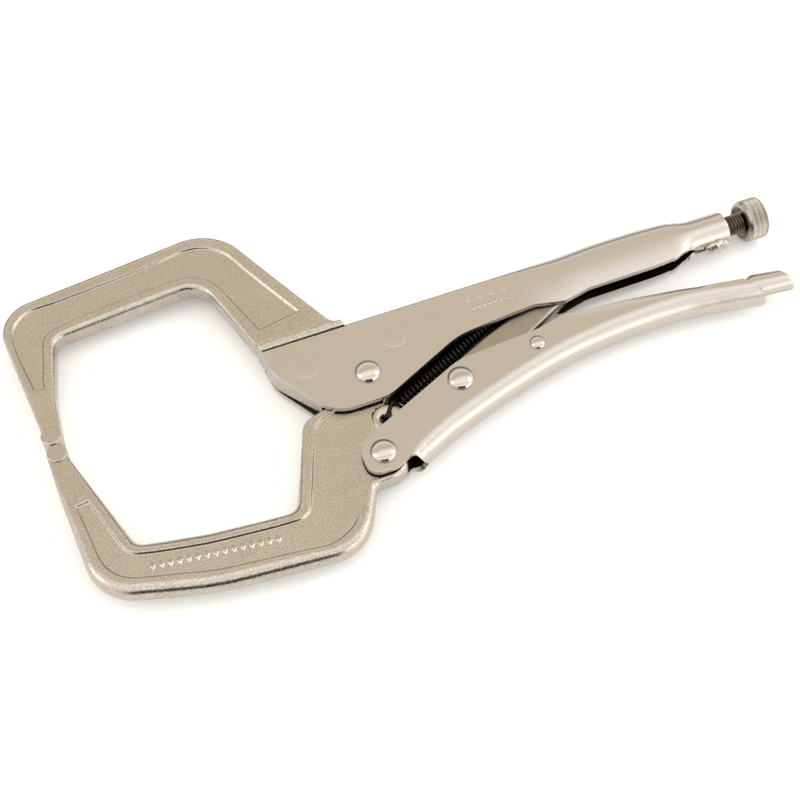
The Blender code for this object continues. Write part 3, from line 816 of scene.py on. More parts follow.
@dataclass
class MovingJaw:
    """Lower hooked jaw, with its eye, its handle pivot and the spring's boss."""

    pad: Place = (-111.6, 8.8)
    hole_radius: float = 1.4
    drill_half: float = 9.0
    boss: Place = (0.2, -18.9)
    boss_radius: float = 5.3

    def arm(self) -> ForgedArm:
        """Return the arm's sizes, from the tip round to the eye."""
        return ForgedArm(
            name="moving_jaw_forging",
            inner=[(-109.0, 8.8, 0), (-95.3, -34.0, 5), (-72.0, -38.4, 60), (-41.4, -41.7, 5),
                   (-28.2, -10.2, 7), (-10.4, -4.9, 6), (-7.4, 9.2, 5)],
            outer=[(-115.3, 8.8, 0), (-115.0, -8.0, 60), (-112.7, -48.6, 18), (-74.8, -59.3, 110),
                   (-23.4, -64.1, 23), (-12.2, -42.2, 3), (1.2, -41.5, 7.5), (1.8, -25.6, 3),
                   (5.7, -22.6, 2.5), (5.5, -15.6, 3.6), (0.0, -13.4, 2), (4.5, -9.6, 3),
                   (9.3, -2.0, 8), (7.0, 9.2, 5)],
            ties=[((-109.0, 8.8), (-115.3, 8.8)), ((-104.0, -7.0), (-115.0, -8.0)),
                  ((-99.0, -22.5), (-114.2, -24.0)), ((-95.3, -34.0), (-112.7, -48.6)),
                  ((-86.0, -36.0), (-92.0, -56.0)), ((-72.0, -38.4), (-72.0, -60.5)),
                  ((-52.0, -41.0), (-46.0, -62.8)), ((-41.4, -41.7), (-24.0, -63.0)),
                  ((-36.0, -29.0), (-12.6, -41.4)), ((-33.0, -21.5), (0.8, -40.0)),
                  ((-29.5, -12.5), (1.6, -25.6)), ((-26.0, -9.4), (5.7, -22.0)),
                  ((-18.0, -7.2), (5.5, -16.0)), ((-13.0, -5.8), (1.0, -13.0)),
                  ((-10.4, -3.0), (6.0, -8.0)), ((-9.0, 3.0), (9.0, 0.0)), ((-7.4, 9.2), (7.0, 9.2))],
            half=[FORGING_HALF] * 17,
            edge=[1.0, 2.2, 3.0, 3.5, 3.6, 3.6, 3.6, 3.3, 2.6, 1.8] + [0.8] * 7,
            inner_rim=[2.0, 3.6, 3.8, 4.4, 4.2, 4.2, 4.4, 4.8, 4.2] + [4.0] * 8,
            outer_rim=[2.0, 4.6, 5.6, 6.0, 5.8, 5.4, 5.2, 5.4, 3.4] + [3.0] * 8,
            outer_wall=[1.0] * 7 + [0.85] + [0.0] * 9,
            recess_from=1.35, recess_to=14.0,
        )

    def build(self) -> None:
        """Make the jaw with its boss and spring hole, and its pad."""
        jaw = self.arm().build()
        radius, half = self.boss_radius, FORGING_HALF
        lower = np.array([[0.0, -half], [radius - 0.9, -half], [radius - 0.5, -half],
                          [radius - 0.15, 0.15 - half], [radius, 0.5 - half]])
        cut(jaw, turned("boss", mirrored(lower), 64, self.boss), "UNION")
        drill = mirrored(np.array([[0.0, -self.drill_half], [self.hole_radius, -self.drill_half]]))
        cut(jaw, turned("drill", drill, 40, SPRING_HOLE))
        jaw.data.set_sharp_from_angle(angle=math.radians(28.0))
        jaw.modifiers.new("even shading", "WEIGHTED_NORMAL")
        dress(jaw, Finish.FORGED_NICKEL, Slot.FORGED, Body.MOVING_JAW, "moving_jaw")
        make_pad("lower_tip_pad_turned", self.pad, Body.MOVING_JAW, "lower_tip_pad")
        web = half - self.arm().recess_depth
        row = np.stack([np.linspace(-92.5, -50.5, 15), np.linspace(-44.0, -49.6, 15)], -1)
        marks = make_marks("jaw_web_lozenges", row, (2.1, 3.4), web, 0.25)
        dress(marks, Finish.FORGED_NICKEL, Slot.FORGED, Body.MOVING_JAW)


def make_pad(name: str, spot: Place, body: Body, node: str) -> None:
    """Make a round cross pad for a jaw's tip.

    Args:
        name: The pad's name.
        spot: Its plan point.
        body: The body it rides on.
        node: The CAD node it stands for.
    """
    radius, half, edge = 3.6, 4.6, 0.45
    quarter = np.radians(np.linspace(90.0, 0.0, 6))
    rim = np.stack([radius - edge + edge * np.cos(quarter), half - edge + edge * np.sin(quarter)], -1)
    pad = turned(name, mirrored(np.concatenate([[[0.0, half]], rim])), 56, spot)
    pad.modifiers.new("even shading", "WEIGHTED_NORMAL")
    dress(pad, Finish.FORGED_NICKEL, Slot.BRIGHT, body, node)


def make_marks(name: str, spots: Array, size: tuple[float, float], base: float,
               rise: float) -> bpy.types.Object:
    """Make a row of small raised lozenges where a maker would put a stamp.

    Args:
        name: The row's name.
        spots: The lozenges' plan points.
        size: A lozenge's length and height.
        base: How high the face they stand on is.
        rise: How far they stand out of it.

    Returns:
        The row as one piece.
    """
    corner = 0.5 * np.array([[size[0], 0.0], [0.0, size[1]], [-size[0], 0.0], [0.0, -size[1]]])
    ring = spots[:, None, None] + corner[None, None] * np.array([1.0, 1.0, 0.55])[None, :, None, None]
    levels = np.array([base - 0.3, base, base + rise])[None, :, None, None]
    tall = np.broadcast_to(levels, ring.shape[:3] + (1,))
    points = np.concatenate([ring, tall], -1).reshape(-1, 3)
    one = np.array([[0, 1, 5, 4], [1, 2, 6, 5], [2, 3, 7, 6], [3, 0, 4, 7]])
    one = np.concatenate([one, one + 4, [[8, 9, 10, 11], [3, 2, 1, 0]]])
    faces = (one[None] + 12 * np.arange(len(spots))[:, None, None]).reshape(-1, 4).tolist()
    return piece_from(name, points, faces, 20.0)


# ------------------------------------------------------------------ folded handles
@dataclass(frozen=True)
class Fold:
    """Counts of points on half of a folded sheet's section."""

    leg: int = 24
    arc: int = 12
    top: int = 4

    def u_section(self, top: Array, half: Array, corner: Array, end: Array,
                  tuck: Array | float = 0.0, sweep: Array | float = 1.0) -> tuple[Array, Array]:
        """Lay out a U: down a leg, round a corner of the given radius, over the top.

        A leg leans in by tuck times the square of its share from the corner.

        Args:
            top: Height of the fold in each row.
            half: Half of the width in each row.
            corner: Corner radius in each row.
            end: Height of the leg's end in each row.
            tuck: How far each row's leg ends lean in.
            sweep: How much of the corner is there, from 0 to 1.

        Returns:
            The y and z of the near half of each row, from leg end to mid top.
        """
        top, half, corner, end, tuck, sweep = (
            np.broadcast_to(v, np.shape(top)).astype(float)[:, None]
            for v in (top, half, corner, end, tuck, sweep))
        share = np.linspace(0.0, 1.0, self.leg, endpoint=False)[None]
        angle = sweep * np.radians(np.linspace(0.0, 90.0, self.arc))[None]
        over = np.linspace(0.0, 1.0, self.top + 1)[None, 1:]
        y = np.concatenate([
            end + (top - corner - end) * share,
            top - corner + corner * np.sin(angle),
            np.broadcast_to(top, (len(top), self.top)),
        ], axis=1)
        z = np.concatenate([
            half - tuck * (1.0 - share) ** 2,
            half - corner + corner * np.cos(angle),
            (half - corner) * (1.0 - over),
        ], axis=1)
        return y, z

    def tube_section(self, centre: Array, radius: Array, opening: float,
                     taller: float = 0.0) -> tuple[Array, Array]:
        """Lay the same points round a tube that is slit below.

        Args:
            centre: The tube's height in each row.
            radius: Its radius in each row.
            opening: Degrees that the slit takes.
            taller: How much more it measures up and down than across.

        Returns:
            The y and z of the near half of each row, from the slit to the top.
        """
        count = self.leg + self.arc + self.top
        angle = np.radians(np.linspace(0.5 * opening - 90.0, 90.0, count))[None]
        centre, radius = (np.asarray(v, dtype=float)[:, None] for v in (centre, radius))
        return centre + (radius + taller) * np.sin(angle), radius * np.cos(angle)

    def whole(self, x: Array, y: Array, z: Array) -> Array:
        """Mirror the near half across the middle plane into a grid of points.

        Args:
            x: The rows' x, by row or by point.
            y: The near half's y.
            z: The near half's z.

        Returns:
            The grid, from the near leg's end to the far leg's end.
        """
        x = np.broadcast_to(x[:, None] if x.ndim == 1 else x, y.shape)
        near = np.stack([x, y, z], -1)
        far = near[:, -2::-1] * np.array([1.0, 1.0, -1.0])
        return np.concatenate([near, far], axis=1)

    def cheeks_only(self, rows: Array, extra: int = 2) -> Array:
        """Return which faces are kept where some rows have no fold over the top.

        Args:
            rows: True for each row of faces that has only its two cheeks.
            extra: Faces of the corner that the cheeks keep.

        Returns:
            The mask for the whole grid.
        """
        half = self.leg + self.arc + self.top - 1
        keep = np.ones((len(rows), 2 * half), dtype=bool)
        side = self.leg + extra
        keep[rows, side:2 * half - side] = False
        return keep


@dataclass
class UpperHandle:
    """Folded sheet handle: flat cheeks, a round grip and a necked nose."""

    half: float = CHEEK_HALF
    sheet: float = SHEET
    nose_y: float = SCREW_AXIS_Y
    nose_radius: float = 6.3
    nose_taller: float = 0.6
    nose_end: float = 152.0
    shoulder: float = -0.7
    lower_edge: list[Corner] = field(default_factory=lambda: [
        (-32.6, 21.0, 0), (-31.9, 12.0, 20), (-17.0, -11.9, 14), (3.8, -11.9, 14), (36.0, 3.0, 30),
        (68.0, 6.0, 8), (79.5, 3.8, 4), (90.0, 6.2, 6), (118.0, 6.5, 6), (127.0, 7.0, 6),
        (132.0, 8.8, 0), (153.0, 8.8, 0),
    ])

    def build(self) -> None:
        """Make the handle's sheet and its weld bead."""
        fold = Fold()
        edge = point_at(*self._even(fillet_line(self.lower_edge), 0.9))
        edge = edge[(edge[:, 0] < self.nose_end) & (np.abs(edge[:, 0] - self.shoulder) > 0.3)]
        x = np.sort(np.append(edge[:, 0], [self.shoulder, self.nose_end]))
        end = np.interp(x, edge[:, 0], edge[:, 1])
        top = eased(x, [-36, 2, 48, 70, 86, 104, 118, 127, 133, 141],
                    [23.2, 23.2, 23.3, 24.2, 25.2, 26.05, 25.95, 25.5, 24.7, 23.3])
        corner = eased(x, [-36, 2, 48, 70, 86, 104], [2.2, 2.2, 2.4, 4.2, 6.2, 6.3])
        tuck = 1.5 * smooth_step((x - 52.0) / 34.0)
        ragged = 0.22 * np.sin(x * 1.9) * np.sin(x * 0.83 + 1.0) * smooth_step((x - 118.0) / 8.0)
        end = np.minimum(end + ragged, top - corner - 0.6)
        wrap = smooth_step((x - 130.0) / 11.0)[:, None]
        skins = []
        for inset in (0.0, self.sheet):
            y_fold, z_fold = fold.u_section(top - inset, self.half - inset,
                                            np.maximum(corner - inset, 0.3), end, tuck)
            y_tube, z_tube = fold.tube_section(np.full(len(x), self.nose_y),
                                               np.full(len(x), self.nose_radius - inset), 10.0,
                                               self.nose_taller)
            skins.append(fold.whole(x, y_fold + (y_tube - y_fold) * wrap, z_fold + (z_tube - z_fold) * wrap))
        keep = fold.cheeks_only(x[1:] < self.shoulder + 0.1)
        handle = shell("upper_handle_sheet", skins[0], skins[1], keep)
        ease_edges(handle, 0.5)
        # The inner skin takes the dark inner-sheet tone as painted shade.
        dress(handle, Finish.SHEET_NICKEL, Slot.PLATED, Body.UPPER_HANDLE, "upper_handle",
              lining=Finish.SHADE_DARKENED_INNER_SHEET)
        self._weld()
        first = np.stack([np.linspace(45.5, 59.5, 4), np.full(4, 16.4)], -1)
        second = np.stack([np.linspace(46.0, 59.0, 7), np.full(7, 12.2)], -1)
        for name, row, size in (("upper_cheek_lozenges", first, (2.6, 2.8)),
                                ("lower_cheek_lozenges", second, (1.3, 1.8))):
            marks = make_marks(name, row, size, self.half, 0.12)
            dress(marks, Finish.SHEET_NICKEL, Slot.PLATED, Body.UPPER_HANDLE)

    @staticmethod
    def _even(line: Array, spacing: float) -> tuple[Array, Array]:
        """Return a line and even distances along it."""
        total = lengths_of(line)[-1]
        return line, np.linspace(0.0, total, int(total / spacing) + 1)

    def _weld(self) -> None:
        """Make the lumpy bead that closes the seam under the nose.

        It is a long ellipsoid whose radius swells and shrinks with a product of
        sines of its length and its angle, as puddles of weld do.
        """
        rows, cols, middle, half_length = 60, 40, 146.4, 5.4
        length = np.linspace(0.0, 1.0, rows)[:, None]
        angle = np.linspace(0.0, 2.0 * math.pi, cols, endpoint=False)[None]
        body = np.sqrt(np.clip(1.0 - (2.0 * length - 1.0) ** 2, 0.0, 1.0))
        lumps = 1.0 + 0.10 * np.sin(17.0 * length + 1.0) * np.cos(2.0 * angle + 5.0 * length)
        lumps = lumps + 0.04 * np.sin(41.0 * length) * np.sin(3.0 * angle + 2.0)
        x = np.broadcast_to(middle + half_length * (2.0 * length - 1.0), (rows, cols))
        y = self.nose_y - self.nose_radius - 0.9 + 1.9 * body * lumps * np.sin(angle)
        z = 3.2 * body * lumps * np.cos(angle)
        y = np.maximum(y, self.nose_y - self.nose_radius - 3.2)
        rings = np.stack([x, y, z], -1)
        faces = grid_quads(rows, cols, close_cols=True).tolist()
        bead = piece_from("nose_weld_bead", rings.reshape(-1, 3), faces, 60.0)
        dress(bead, Finish.SHEET_NICKEL, Slot.BRIGHT, Body.UPPER_HANDLE, "nose_weld")


@dataclass
class LowerHandle:
    """Folded sheet lever, open towards the upper handle."""

    half: float = CHEEK_HALF
    sheet: float = SHEET
    lip_from: float = 1.6
    web_from: float = 8.2
    upper_edge: list[Corner] = field(default_factory=lambda: [
        (-14.0, -42.0, 0), (-14.0, -27.2, 7.8), (32.0, -6.9, 22), (64.5, -4.8, 5), (75.5, -2.1, 8),
        (100.0, -4.2, 80), (144.0, -10.7, 0), (156.0, -12.5, 0),
    ])
    lower_edge: list[Corner] = field(default_factory=lambda: [
        (-14.0, -26.0, 0), (-14.0, -40.0, 7.4), (-3.8, -40.0, 5.0), (1.6, -37.4, 3.0), (4.8, -34.6, 4.0),
        (8.4, -32.6, 0),
    ])

    def build(self) -> None:
        """Make the lever's sheet."""
        fold = Fold()
        x = np.concatenate([
            -14.0 + 7.0 * (1.0 - np.cos(np.radians(np.linspace(3.0, 90.0, 26)))),
            np.linspace(-6.5, self.lip_from, 10), np.linspace(self.lip_from + 0.4, self.web_from, 16),
            np.linspace(self.web_from + 0.6, 150.9, 170),
        ])
        upper, lower = fillet_line(self.upper_edge), fillet_line(self.lower_edge)
        end = np.interp(x, upper[:, 0], upper[:, 1])
        corner = np.full(len(x), 6.3)
        web = eased(x, [7.2, 8.6, 14, 22, 31, 41, 52, 64, 76, 88, 99, 110, 121, 132, 141, 154],
                    [-39.3, -38.7, -36.2, -32.8, -29.7, -26.5, -23.4, -20.4, -18.2, -16.9, -16.2,
                     -16.0, -16.4, -17.6, -19.0, -21.3])
        foot = np.interp(x, lower[:, 0], lower[:, 1])
        bottom = np.where(x < self.web_from, foot - corner, web)
        end = np.maximum(end, bottom + corner + 0.5)
        sweep = smooth_step((x - self.lip_from) / (self.web_from - self.lip_from))
        tuck = 0.9 * smooth_step((x - 62.0) / 22.0) * smooth_step((142.0 - x) / 14.0)
        slant = smooth_step((x - 118.0) / 32.0)[:, None]
        skins = []
        for inset in (0.0, self.sheet):
            y, z = fold.u_section(-bottom - inset, self.half - inset, corner - inset, -end, tuck, sweep)
            run = x[:, None] - slant * 0.66 * (-y + 21.0)
            skins.append(fold.whole(run, y, z) * np.array([1.0, -1.0, 1.0]))
        keep = fold.cheeks_only(sweep[1:] < 0.9999, fold.arc - 1)
        handle = shell("lower_handle_sheet", skins[0], skins[1], keep)
        ease_edges(handle, 0.5)
        # The inner skin takes the dark inner-sheet tone as painted shade.
        dress(handle, Finish.SHEET_NICKEL, Slot.PLATED, Body.LOWER_HANDLE, "lower_handle",
              lining=Finish.SHADE_DARKENED_INNER_SHEET)


@dataclass
class ReleaseLever:
    """Pressed lever in the lower handle, rolled into a round closed tail."""

    half: float = 3.3
    sheet: float = 1.3
    tail_radius: float = 4.05
    taller: float = 0.6

    def build(self) -> None:
        """Make the lever's sheet."""
        fold = Fold(leg=14, arc=12, top=4)
        turn = np.radians(np.linspace(0.0, 90.0, 12))
        tip = np.concatenate([161.6 + 1.6 * np.sin(turn), [163.25, 163.28]])
        body = np.linspace(58.0, 161.2, 134)
        x = np.concatenate([body, tip])
        shrink = np.concatenate([np.ones(len(body)), 1.0 - 0.4 * (1.0 - np.cos(turn)), [0.3, 0.002]])
        top = eased(x, [58, 66, 80, 100, 118, 132, 139, 146],
                    [-6.2, -6.1, -6.0, -6.0, -6.9, -8.6, -9.6, -10.2])
        end = eased(x, [58, 66, 80, 100, 118, 132, 139],
                    [-14.0, -14.0, -12.6, -11.0, -11.0, -12.3, -13.2])
        centre = eased(x, [140, 146, 154, 166], [-12.0, -12.4, -13.3, -14.8])
        wrap = smooth_step((x - 145.0) / 6.0)[:, None]
        half = self.half - 0.3 * smooth_step((x - 120.0) / 12.0)
        skins = []
        for inset in (0.0, self.sheet):
            y_fold, z_fold = fold.u_section(top - inset, half - inset, max(3.0 - inset, 0.3), end)
            radius = np.maximum((self.tail_radius - inset) * shrink, 0.001)
            y_tube, z_tube = fold.tube_section(centre, radius, 2.0)
            y_tube = centre[:, None] + (y_tube - centre[:, None]) * (1.0 + self.taller / self.tail_radius)
            y = y_fold + (y_tube - y_fold) * wrap
            z = z_fold + (z_tube - z_fold) * wrap
            lean = smooth_step((x - 150.0) / 10.0)[:, None]
            run = x[:, None] - 0.35 * lean * (y - centre[:, None]) - inset * (x[:, None] > 161.4)
            skins.append(fold.whole(run, y, z))
        lever = shell("release_lever_sheet", skins[0], skins[1])
        ease_edges(lever, 0.25)
        # The inner skin takes the dark inner-sheet tone as painted shade.
        dress(lever, Finish.SHEET_NICKEL, Slot.PLATED, Body.RELEASE_LEVER, "release_lever",
              lining=Finish.SHADE_DARKENED_INNER_SHEET)


@dataclass
class ToggleLink:
    """Flat bar between the lower handle and the adjusting screw."""

    half: float = 2.8
    outline: list[Corner] = field(default_factory=lambda: [
        (23.9, -17.4, 5.8), (25.6, -7.6, 5.8), (46.0, 1.8, 14.0), (88.4, 18.4, 3.9), (96.0, 19.0, 3.9),
        (96.2, 9.3, 3.9), (88.0, 9.6, 12.0), (62.0, -4.0, 10.0), (34.4, -20.2, 5.8),
    ])

    def build(self) -> None:
        """Make the bar."""
        link = flat_plate("toggle_link_bar", fillet_line(self.outline, closed=True), self.half, 1.6)
        link.modifiers.new("even shading", "WEIGHTED_NORMAL")
        # The bar takes the darker forging tone as painted shade from the handles over it.
        dress(link, Finish.SHADE_DARKENED_FORGING, Slot.FORGED, Body.TOGGLE_LINK, "toggle_link")


# ------------------------------------------------------------------ small parts
@dataclass
class Adjuster:
    """Threaded screw with a diamond-knurled knob."""

    axis_y: float = SCREW_AXIS_Y
    thread_radius: float = 4.0
    pitch: float = 1.25
    tip_x: float = 101.0
    knob_from: float = 160.0
    knob_to: float = 168.6
    knob_radius: float = 8.1
    teeth: int = 58

    def build(self) -> None:
        """Make the screw and its knob."""
        self._screw()
        self._knob()

    def _screw(self) -> None:
        """Make the thread: its depth is a rounded triangle wave of x / pitch less the turn."""
        steps = 48
        x = np.arange(self.tip_x, self.knob_from + 0.3, self.pitch / 12.0)
        angle = np.linspace(0.0, 2.0 * math.pi, steps, endpoint=False)
        phase = (x[:, None] / self.pitch - angle[None] / (2.0 * math.pi)) % 1.0
        wave = np.abs(2.0 * phase - 1.0)
        depth = 0.8 * smooth_step(wave)
        runout = smooth_step((x - self.tip_x) / 3.0)[:, None]
        radius = (self.thread_radius - depth) * (0.62 + 0.38 * runout)
        rings = np.stack([np.broadcast_to(x[:, None], radius.shape), self.axis_y + radius * np.cos(angle),
                          radius * np.sin(angle)], -1)
        screw = loft("adjusting_screw_thread", rings, 60.0)
        dress(screw, Finish.THREAD_STEEL_AND_SHADE, Slot.DARK_STEEL, Body.SCREW, "adjusting_screw")

    def _knob(self) -> None:
        """Make the knob.

        The rim is sunk by the larger of two triangle waves that climb round it
        in opposite directions, which leaves a field of small diamonds.
        """
        first, last, radius = self.knob_from, self.knob_to, self.knob_radius
        steps = self.teeth * 8
        angle = np.linspace(0.0, 2.0 * math.pi, steps, endpoint=False)
        rim = np.linspace(first + 1.5, last - 0.7, 52)
        x = np.concatenate([
            [first + 1.1, first + 1.1], np.linspace(first + 0.9, first, 5),
            [first + 0.02, first + 0.5, first + 1.35],
            rim, np.linspace(last - 0.55, last - 0.1, 5), [last, last],
        ])
        plain = np.concatenate([
            [0.0, 4.6], np.linspace(4.8, radius - 1.7, 5), [radius - 1.5, radius - 0.5, radius - 0.12],
            np.full(len(rim), radius), radius - 0.15 - 0.65 * np.linspace(0, 1, 5) ** 2, [radius - 1.2, 0.0],
        ])
        on_rim = smooth_step((x - rim[0]) / 0.4) * smooth_step((rim[-1] - x) / 0.4)
        climb = x[:, None] / (last - first) * 2.2
        turn = angle[None] / (2.0 * math.pi) * self.teeth
        left = np.abs(2.0 * ((turn + climb) % 1.0) - 1.0)
        right = np.abs(2.0 * ((turn - climb) % 1.0) - 1.0)
        cut_in = 0.34 * np.maximum(left, right) ** 2
        wide = plain[:, None] - cut_in * on_rim[:, None]
        rings = np.stack([np.broadcast_to(x[:, None], wide.shape), self.axis_y + wide * np.cos(angle),
                          wide * np.sin(angle)], -1)
        faces = grid_quads(*rings.shape[:2], close_cols=True).tolist()
        # The first six rows of faces, the knob's inner face, take the dark thread finish as painted shade.
        knob = piece_from("adjuster_knob_knurled", rings.reshape(-1, 3), faces, 40.0, lining=(0, 6 * steps))
        dress(knob, Finish.KNURLED_NICKEL, Slot.BRIGHT, Body.KNOB, "adjuster_knob",
              lining=Finish.THREAD_STEEL_AND_SHADE)


@dataclass
class Rivet:
    """Cross rivet with a domed head outside each cheek."""

    name: str
    node: str
    spot: Place
    body: Body
    head: float = 4.8
    height: float = 2.55
    shank: float = 2.9
    cheek: float = CHEEK_HALF

    def build(self) -> None:
        """Make the rivet: the dome's edge is upright, its crown an elliptic arc."""
        angle = np.radians(np.linspace(90.0, 4.0, 22))
        dome = np.stack([self.head * np.cos(angle) ** 0.96, self.cheek + self.height * np.sin(angle)], -1)
        foot = np.array([[self.head, self.cheek + 0.02], [self.shank, self.cheek + 0.02]])
        upper = np.concatenate([dome, foot])
        upper[0, 0] = 0.0
        rivet = turned(self.name, mirrored(upper), 64, self.spot, crease=50.0)
        dress(rivet, Finish.BRIGHT_NICKEL, Slot.BRIGHT, self.body, self.node)


@dataclass
class FlushRivet:
    """Rivet hammered flush with the cheeks; only a hair of its rim shows."""

    name: str
    node: str
    spot: Place
    radius: float = 4.7
    cheek: float = CHEEK_HALF

    def build(self) -> None:
        """Make the rivet, with a shallow closed-up groove round its face."""
        r, h = self.radius, self.cheek
        upper = np.array([[0.0, h + 0.05], [r - 0.3, h + 0.05], [r - 0.15, h + 0.03], [r - 0.08, h - 0.02],
                          [r - 0.08, h - 0.4]])
        rivet = turned(self.name, mirrored(upper), 64, self.spot, crease=50.0)
        dress(rivet, Finish.SHEET_NICKEL, Slot.PLATED, Body.UPPER_HANDLE, self.node)


@dataclass
class ReturnSpring:
    """Tension spring from the moving jaw's hole to the pin in the handle."""

    coil_from: Place = (6.6, -13.1)
    coil_to: Place = (50.6, 8.2)
    pin: Place = (59.0, 11.3)
    coil_radius: float = 2.35
    wire: float = 0.6
    turns: int = 27
    pin_radius: float = 1.3
    pin_half: float = 4.1

    def build(self) -> None:
        """Make the wire and the pin.

        The coil is a helix: at turn t its point is the axis point plus
        the radius times (cosine of t up, sine of t sideways).
        """
        start, stop = np.array([*self.coil_from, 0.0]), np.array([*self.coil_to, 0.0])
        along = (stop - start) / np.linalg.norm(stop - start)
        side, up = np.array([-along[1], along[0], 0.0]), np.array([0.0, 0.0, 1.0])
        t = np.linspace(0.0, self.turns, self.turns * 24 + 1)[:, None]
        coil = start + (stop - start) * t / self.turns
        coil = coil + self.coil_radius * (up * np.cos(2 * math.pi * t) + side * np.sin(2 * math.pi * t))
        hole = np.array([*SPRING_HOLE, 0.0])
        hook = np.array([hole + [0.1, 0.1, -4.9], hole + [0.1, 0.1, 0.0], hole + [0.1, 0.1, 4.2],
                         hole + [0.9, 0.9, 5.1], start - along * 3.2 + up * 4.7,
                         start - along * 1.3 + up * 3.5, coil[0]])
        lead = self._soft(hook, 60)[:-1]
        pin = np.array([*self.pin, 0.0])
        toward = (pin - stop) / np.linalg.norm(pin - stop)
        across = np.array([-toward[1], toward[0], 0.0])
        ring = self.pin_radius + self.wire + 0.3
        bend = np.radians(180.0 - np.linspace(0.0, 240.0, 9))[:, None]
        loop = pin + ring * (toward * np.cos(bend) + across * np.sin(bend))
        tail = self._soft(np.concatenate([coil[-1:], [stop + along * 1.6 + up * 1.2], loop]), 70)[1:]
        path = np.concatenate([lead, coil, tail])
        spring = swept_wire("return_spring_wire", path, self.wire)
        spring.data.materials.append(Finish.SPRING_WIRE.material())
        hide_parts("return_spring")
        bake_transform(spring)
        LOG.info("%s: %d faces", spring.name, len(spring.data.polygons))
        radius, half = self.pin_radius, self.pin_half
        lower = np.array([[0.0, -half], [radius - 0.2, -half], [radius, 0.2 - half]])
        rod = turned("spring_anchor_rod", mirrored(lower), 32, self.pin)
        dress(rod, Finish.THREAD_STEEL_AND_SHADE, Slot.DARK_STEEL, Body.UPPER_HANDLE, "spring_anchor_pin")

    @staticmethod
    def _soft(spots: Array, count: int) -> Array:
        """Run a smooth line through a few points.

        Args:
            spots: The points.
            count: How many points the line gets.

        Returns:
            The line.
        """
        known = lengths_of(spots)
        want = np.linspace(0.0, known[-1], count)
        return np.stack([eased(want, known.tolist(), spots[:, k].tolist()) for k in range(3)], -1)


# ------------------------------------------------------------------ studio
# The room's light by lean in degrees from straight up, the camera's side positive.
SKY = (
    (-88.0, (0.08, 0.08, 0.08)), (-72.0, (0.70, 0.68, 0.64)), (-58.0, (1.45, 1.40, 1.31)),
    (-44.0, (1.10, 0.97, 0.79)), (-25.0, (1.06, 0.94, 0.76)), (-13.0, (1.62, 1.58, 1.52)),
    (10.0, (1.75, 1.71, 1.66)), (22.0, (1.24, 1.19, 1.13)), (34.0, (1.70, 1.66, 1.61)),
    (45.0, (1.50, 1.46, 1.41)), (55.0, (0.20, 0.19, 0.19)), (66.0, (0.02, 0.02, 0.02)),
)
# How far the leans reach to either side of straight up.
SKY_REACH = 110.0
# The same low down at either side, where the soft boxes stand.
SIDE_LIGHT = (1.35, 1.30, 1.24)
# Where round the tool each box starts, is full, starts to fade and ends, in degrees.
RIGHT_BOX = (6.0, 22.0, 112.0, 135.0)
LEFT_BOX = (-135.0, -112.0, -50.0, -32.0)


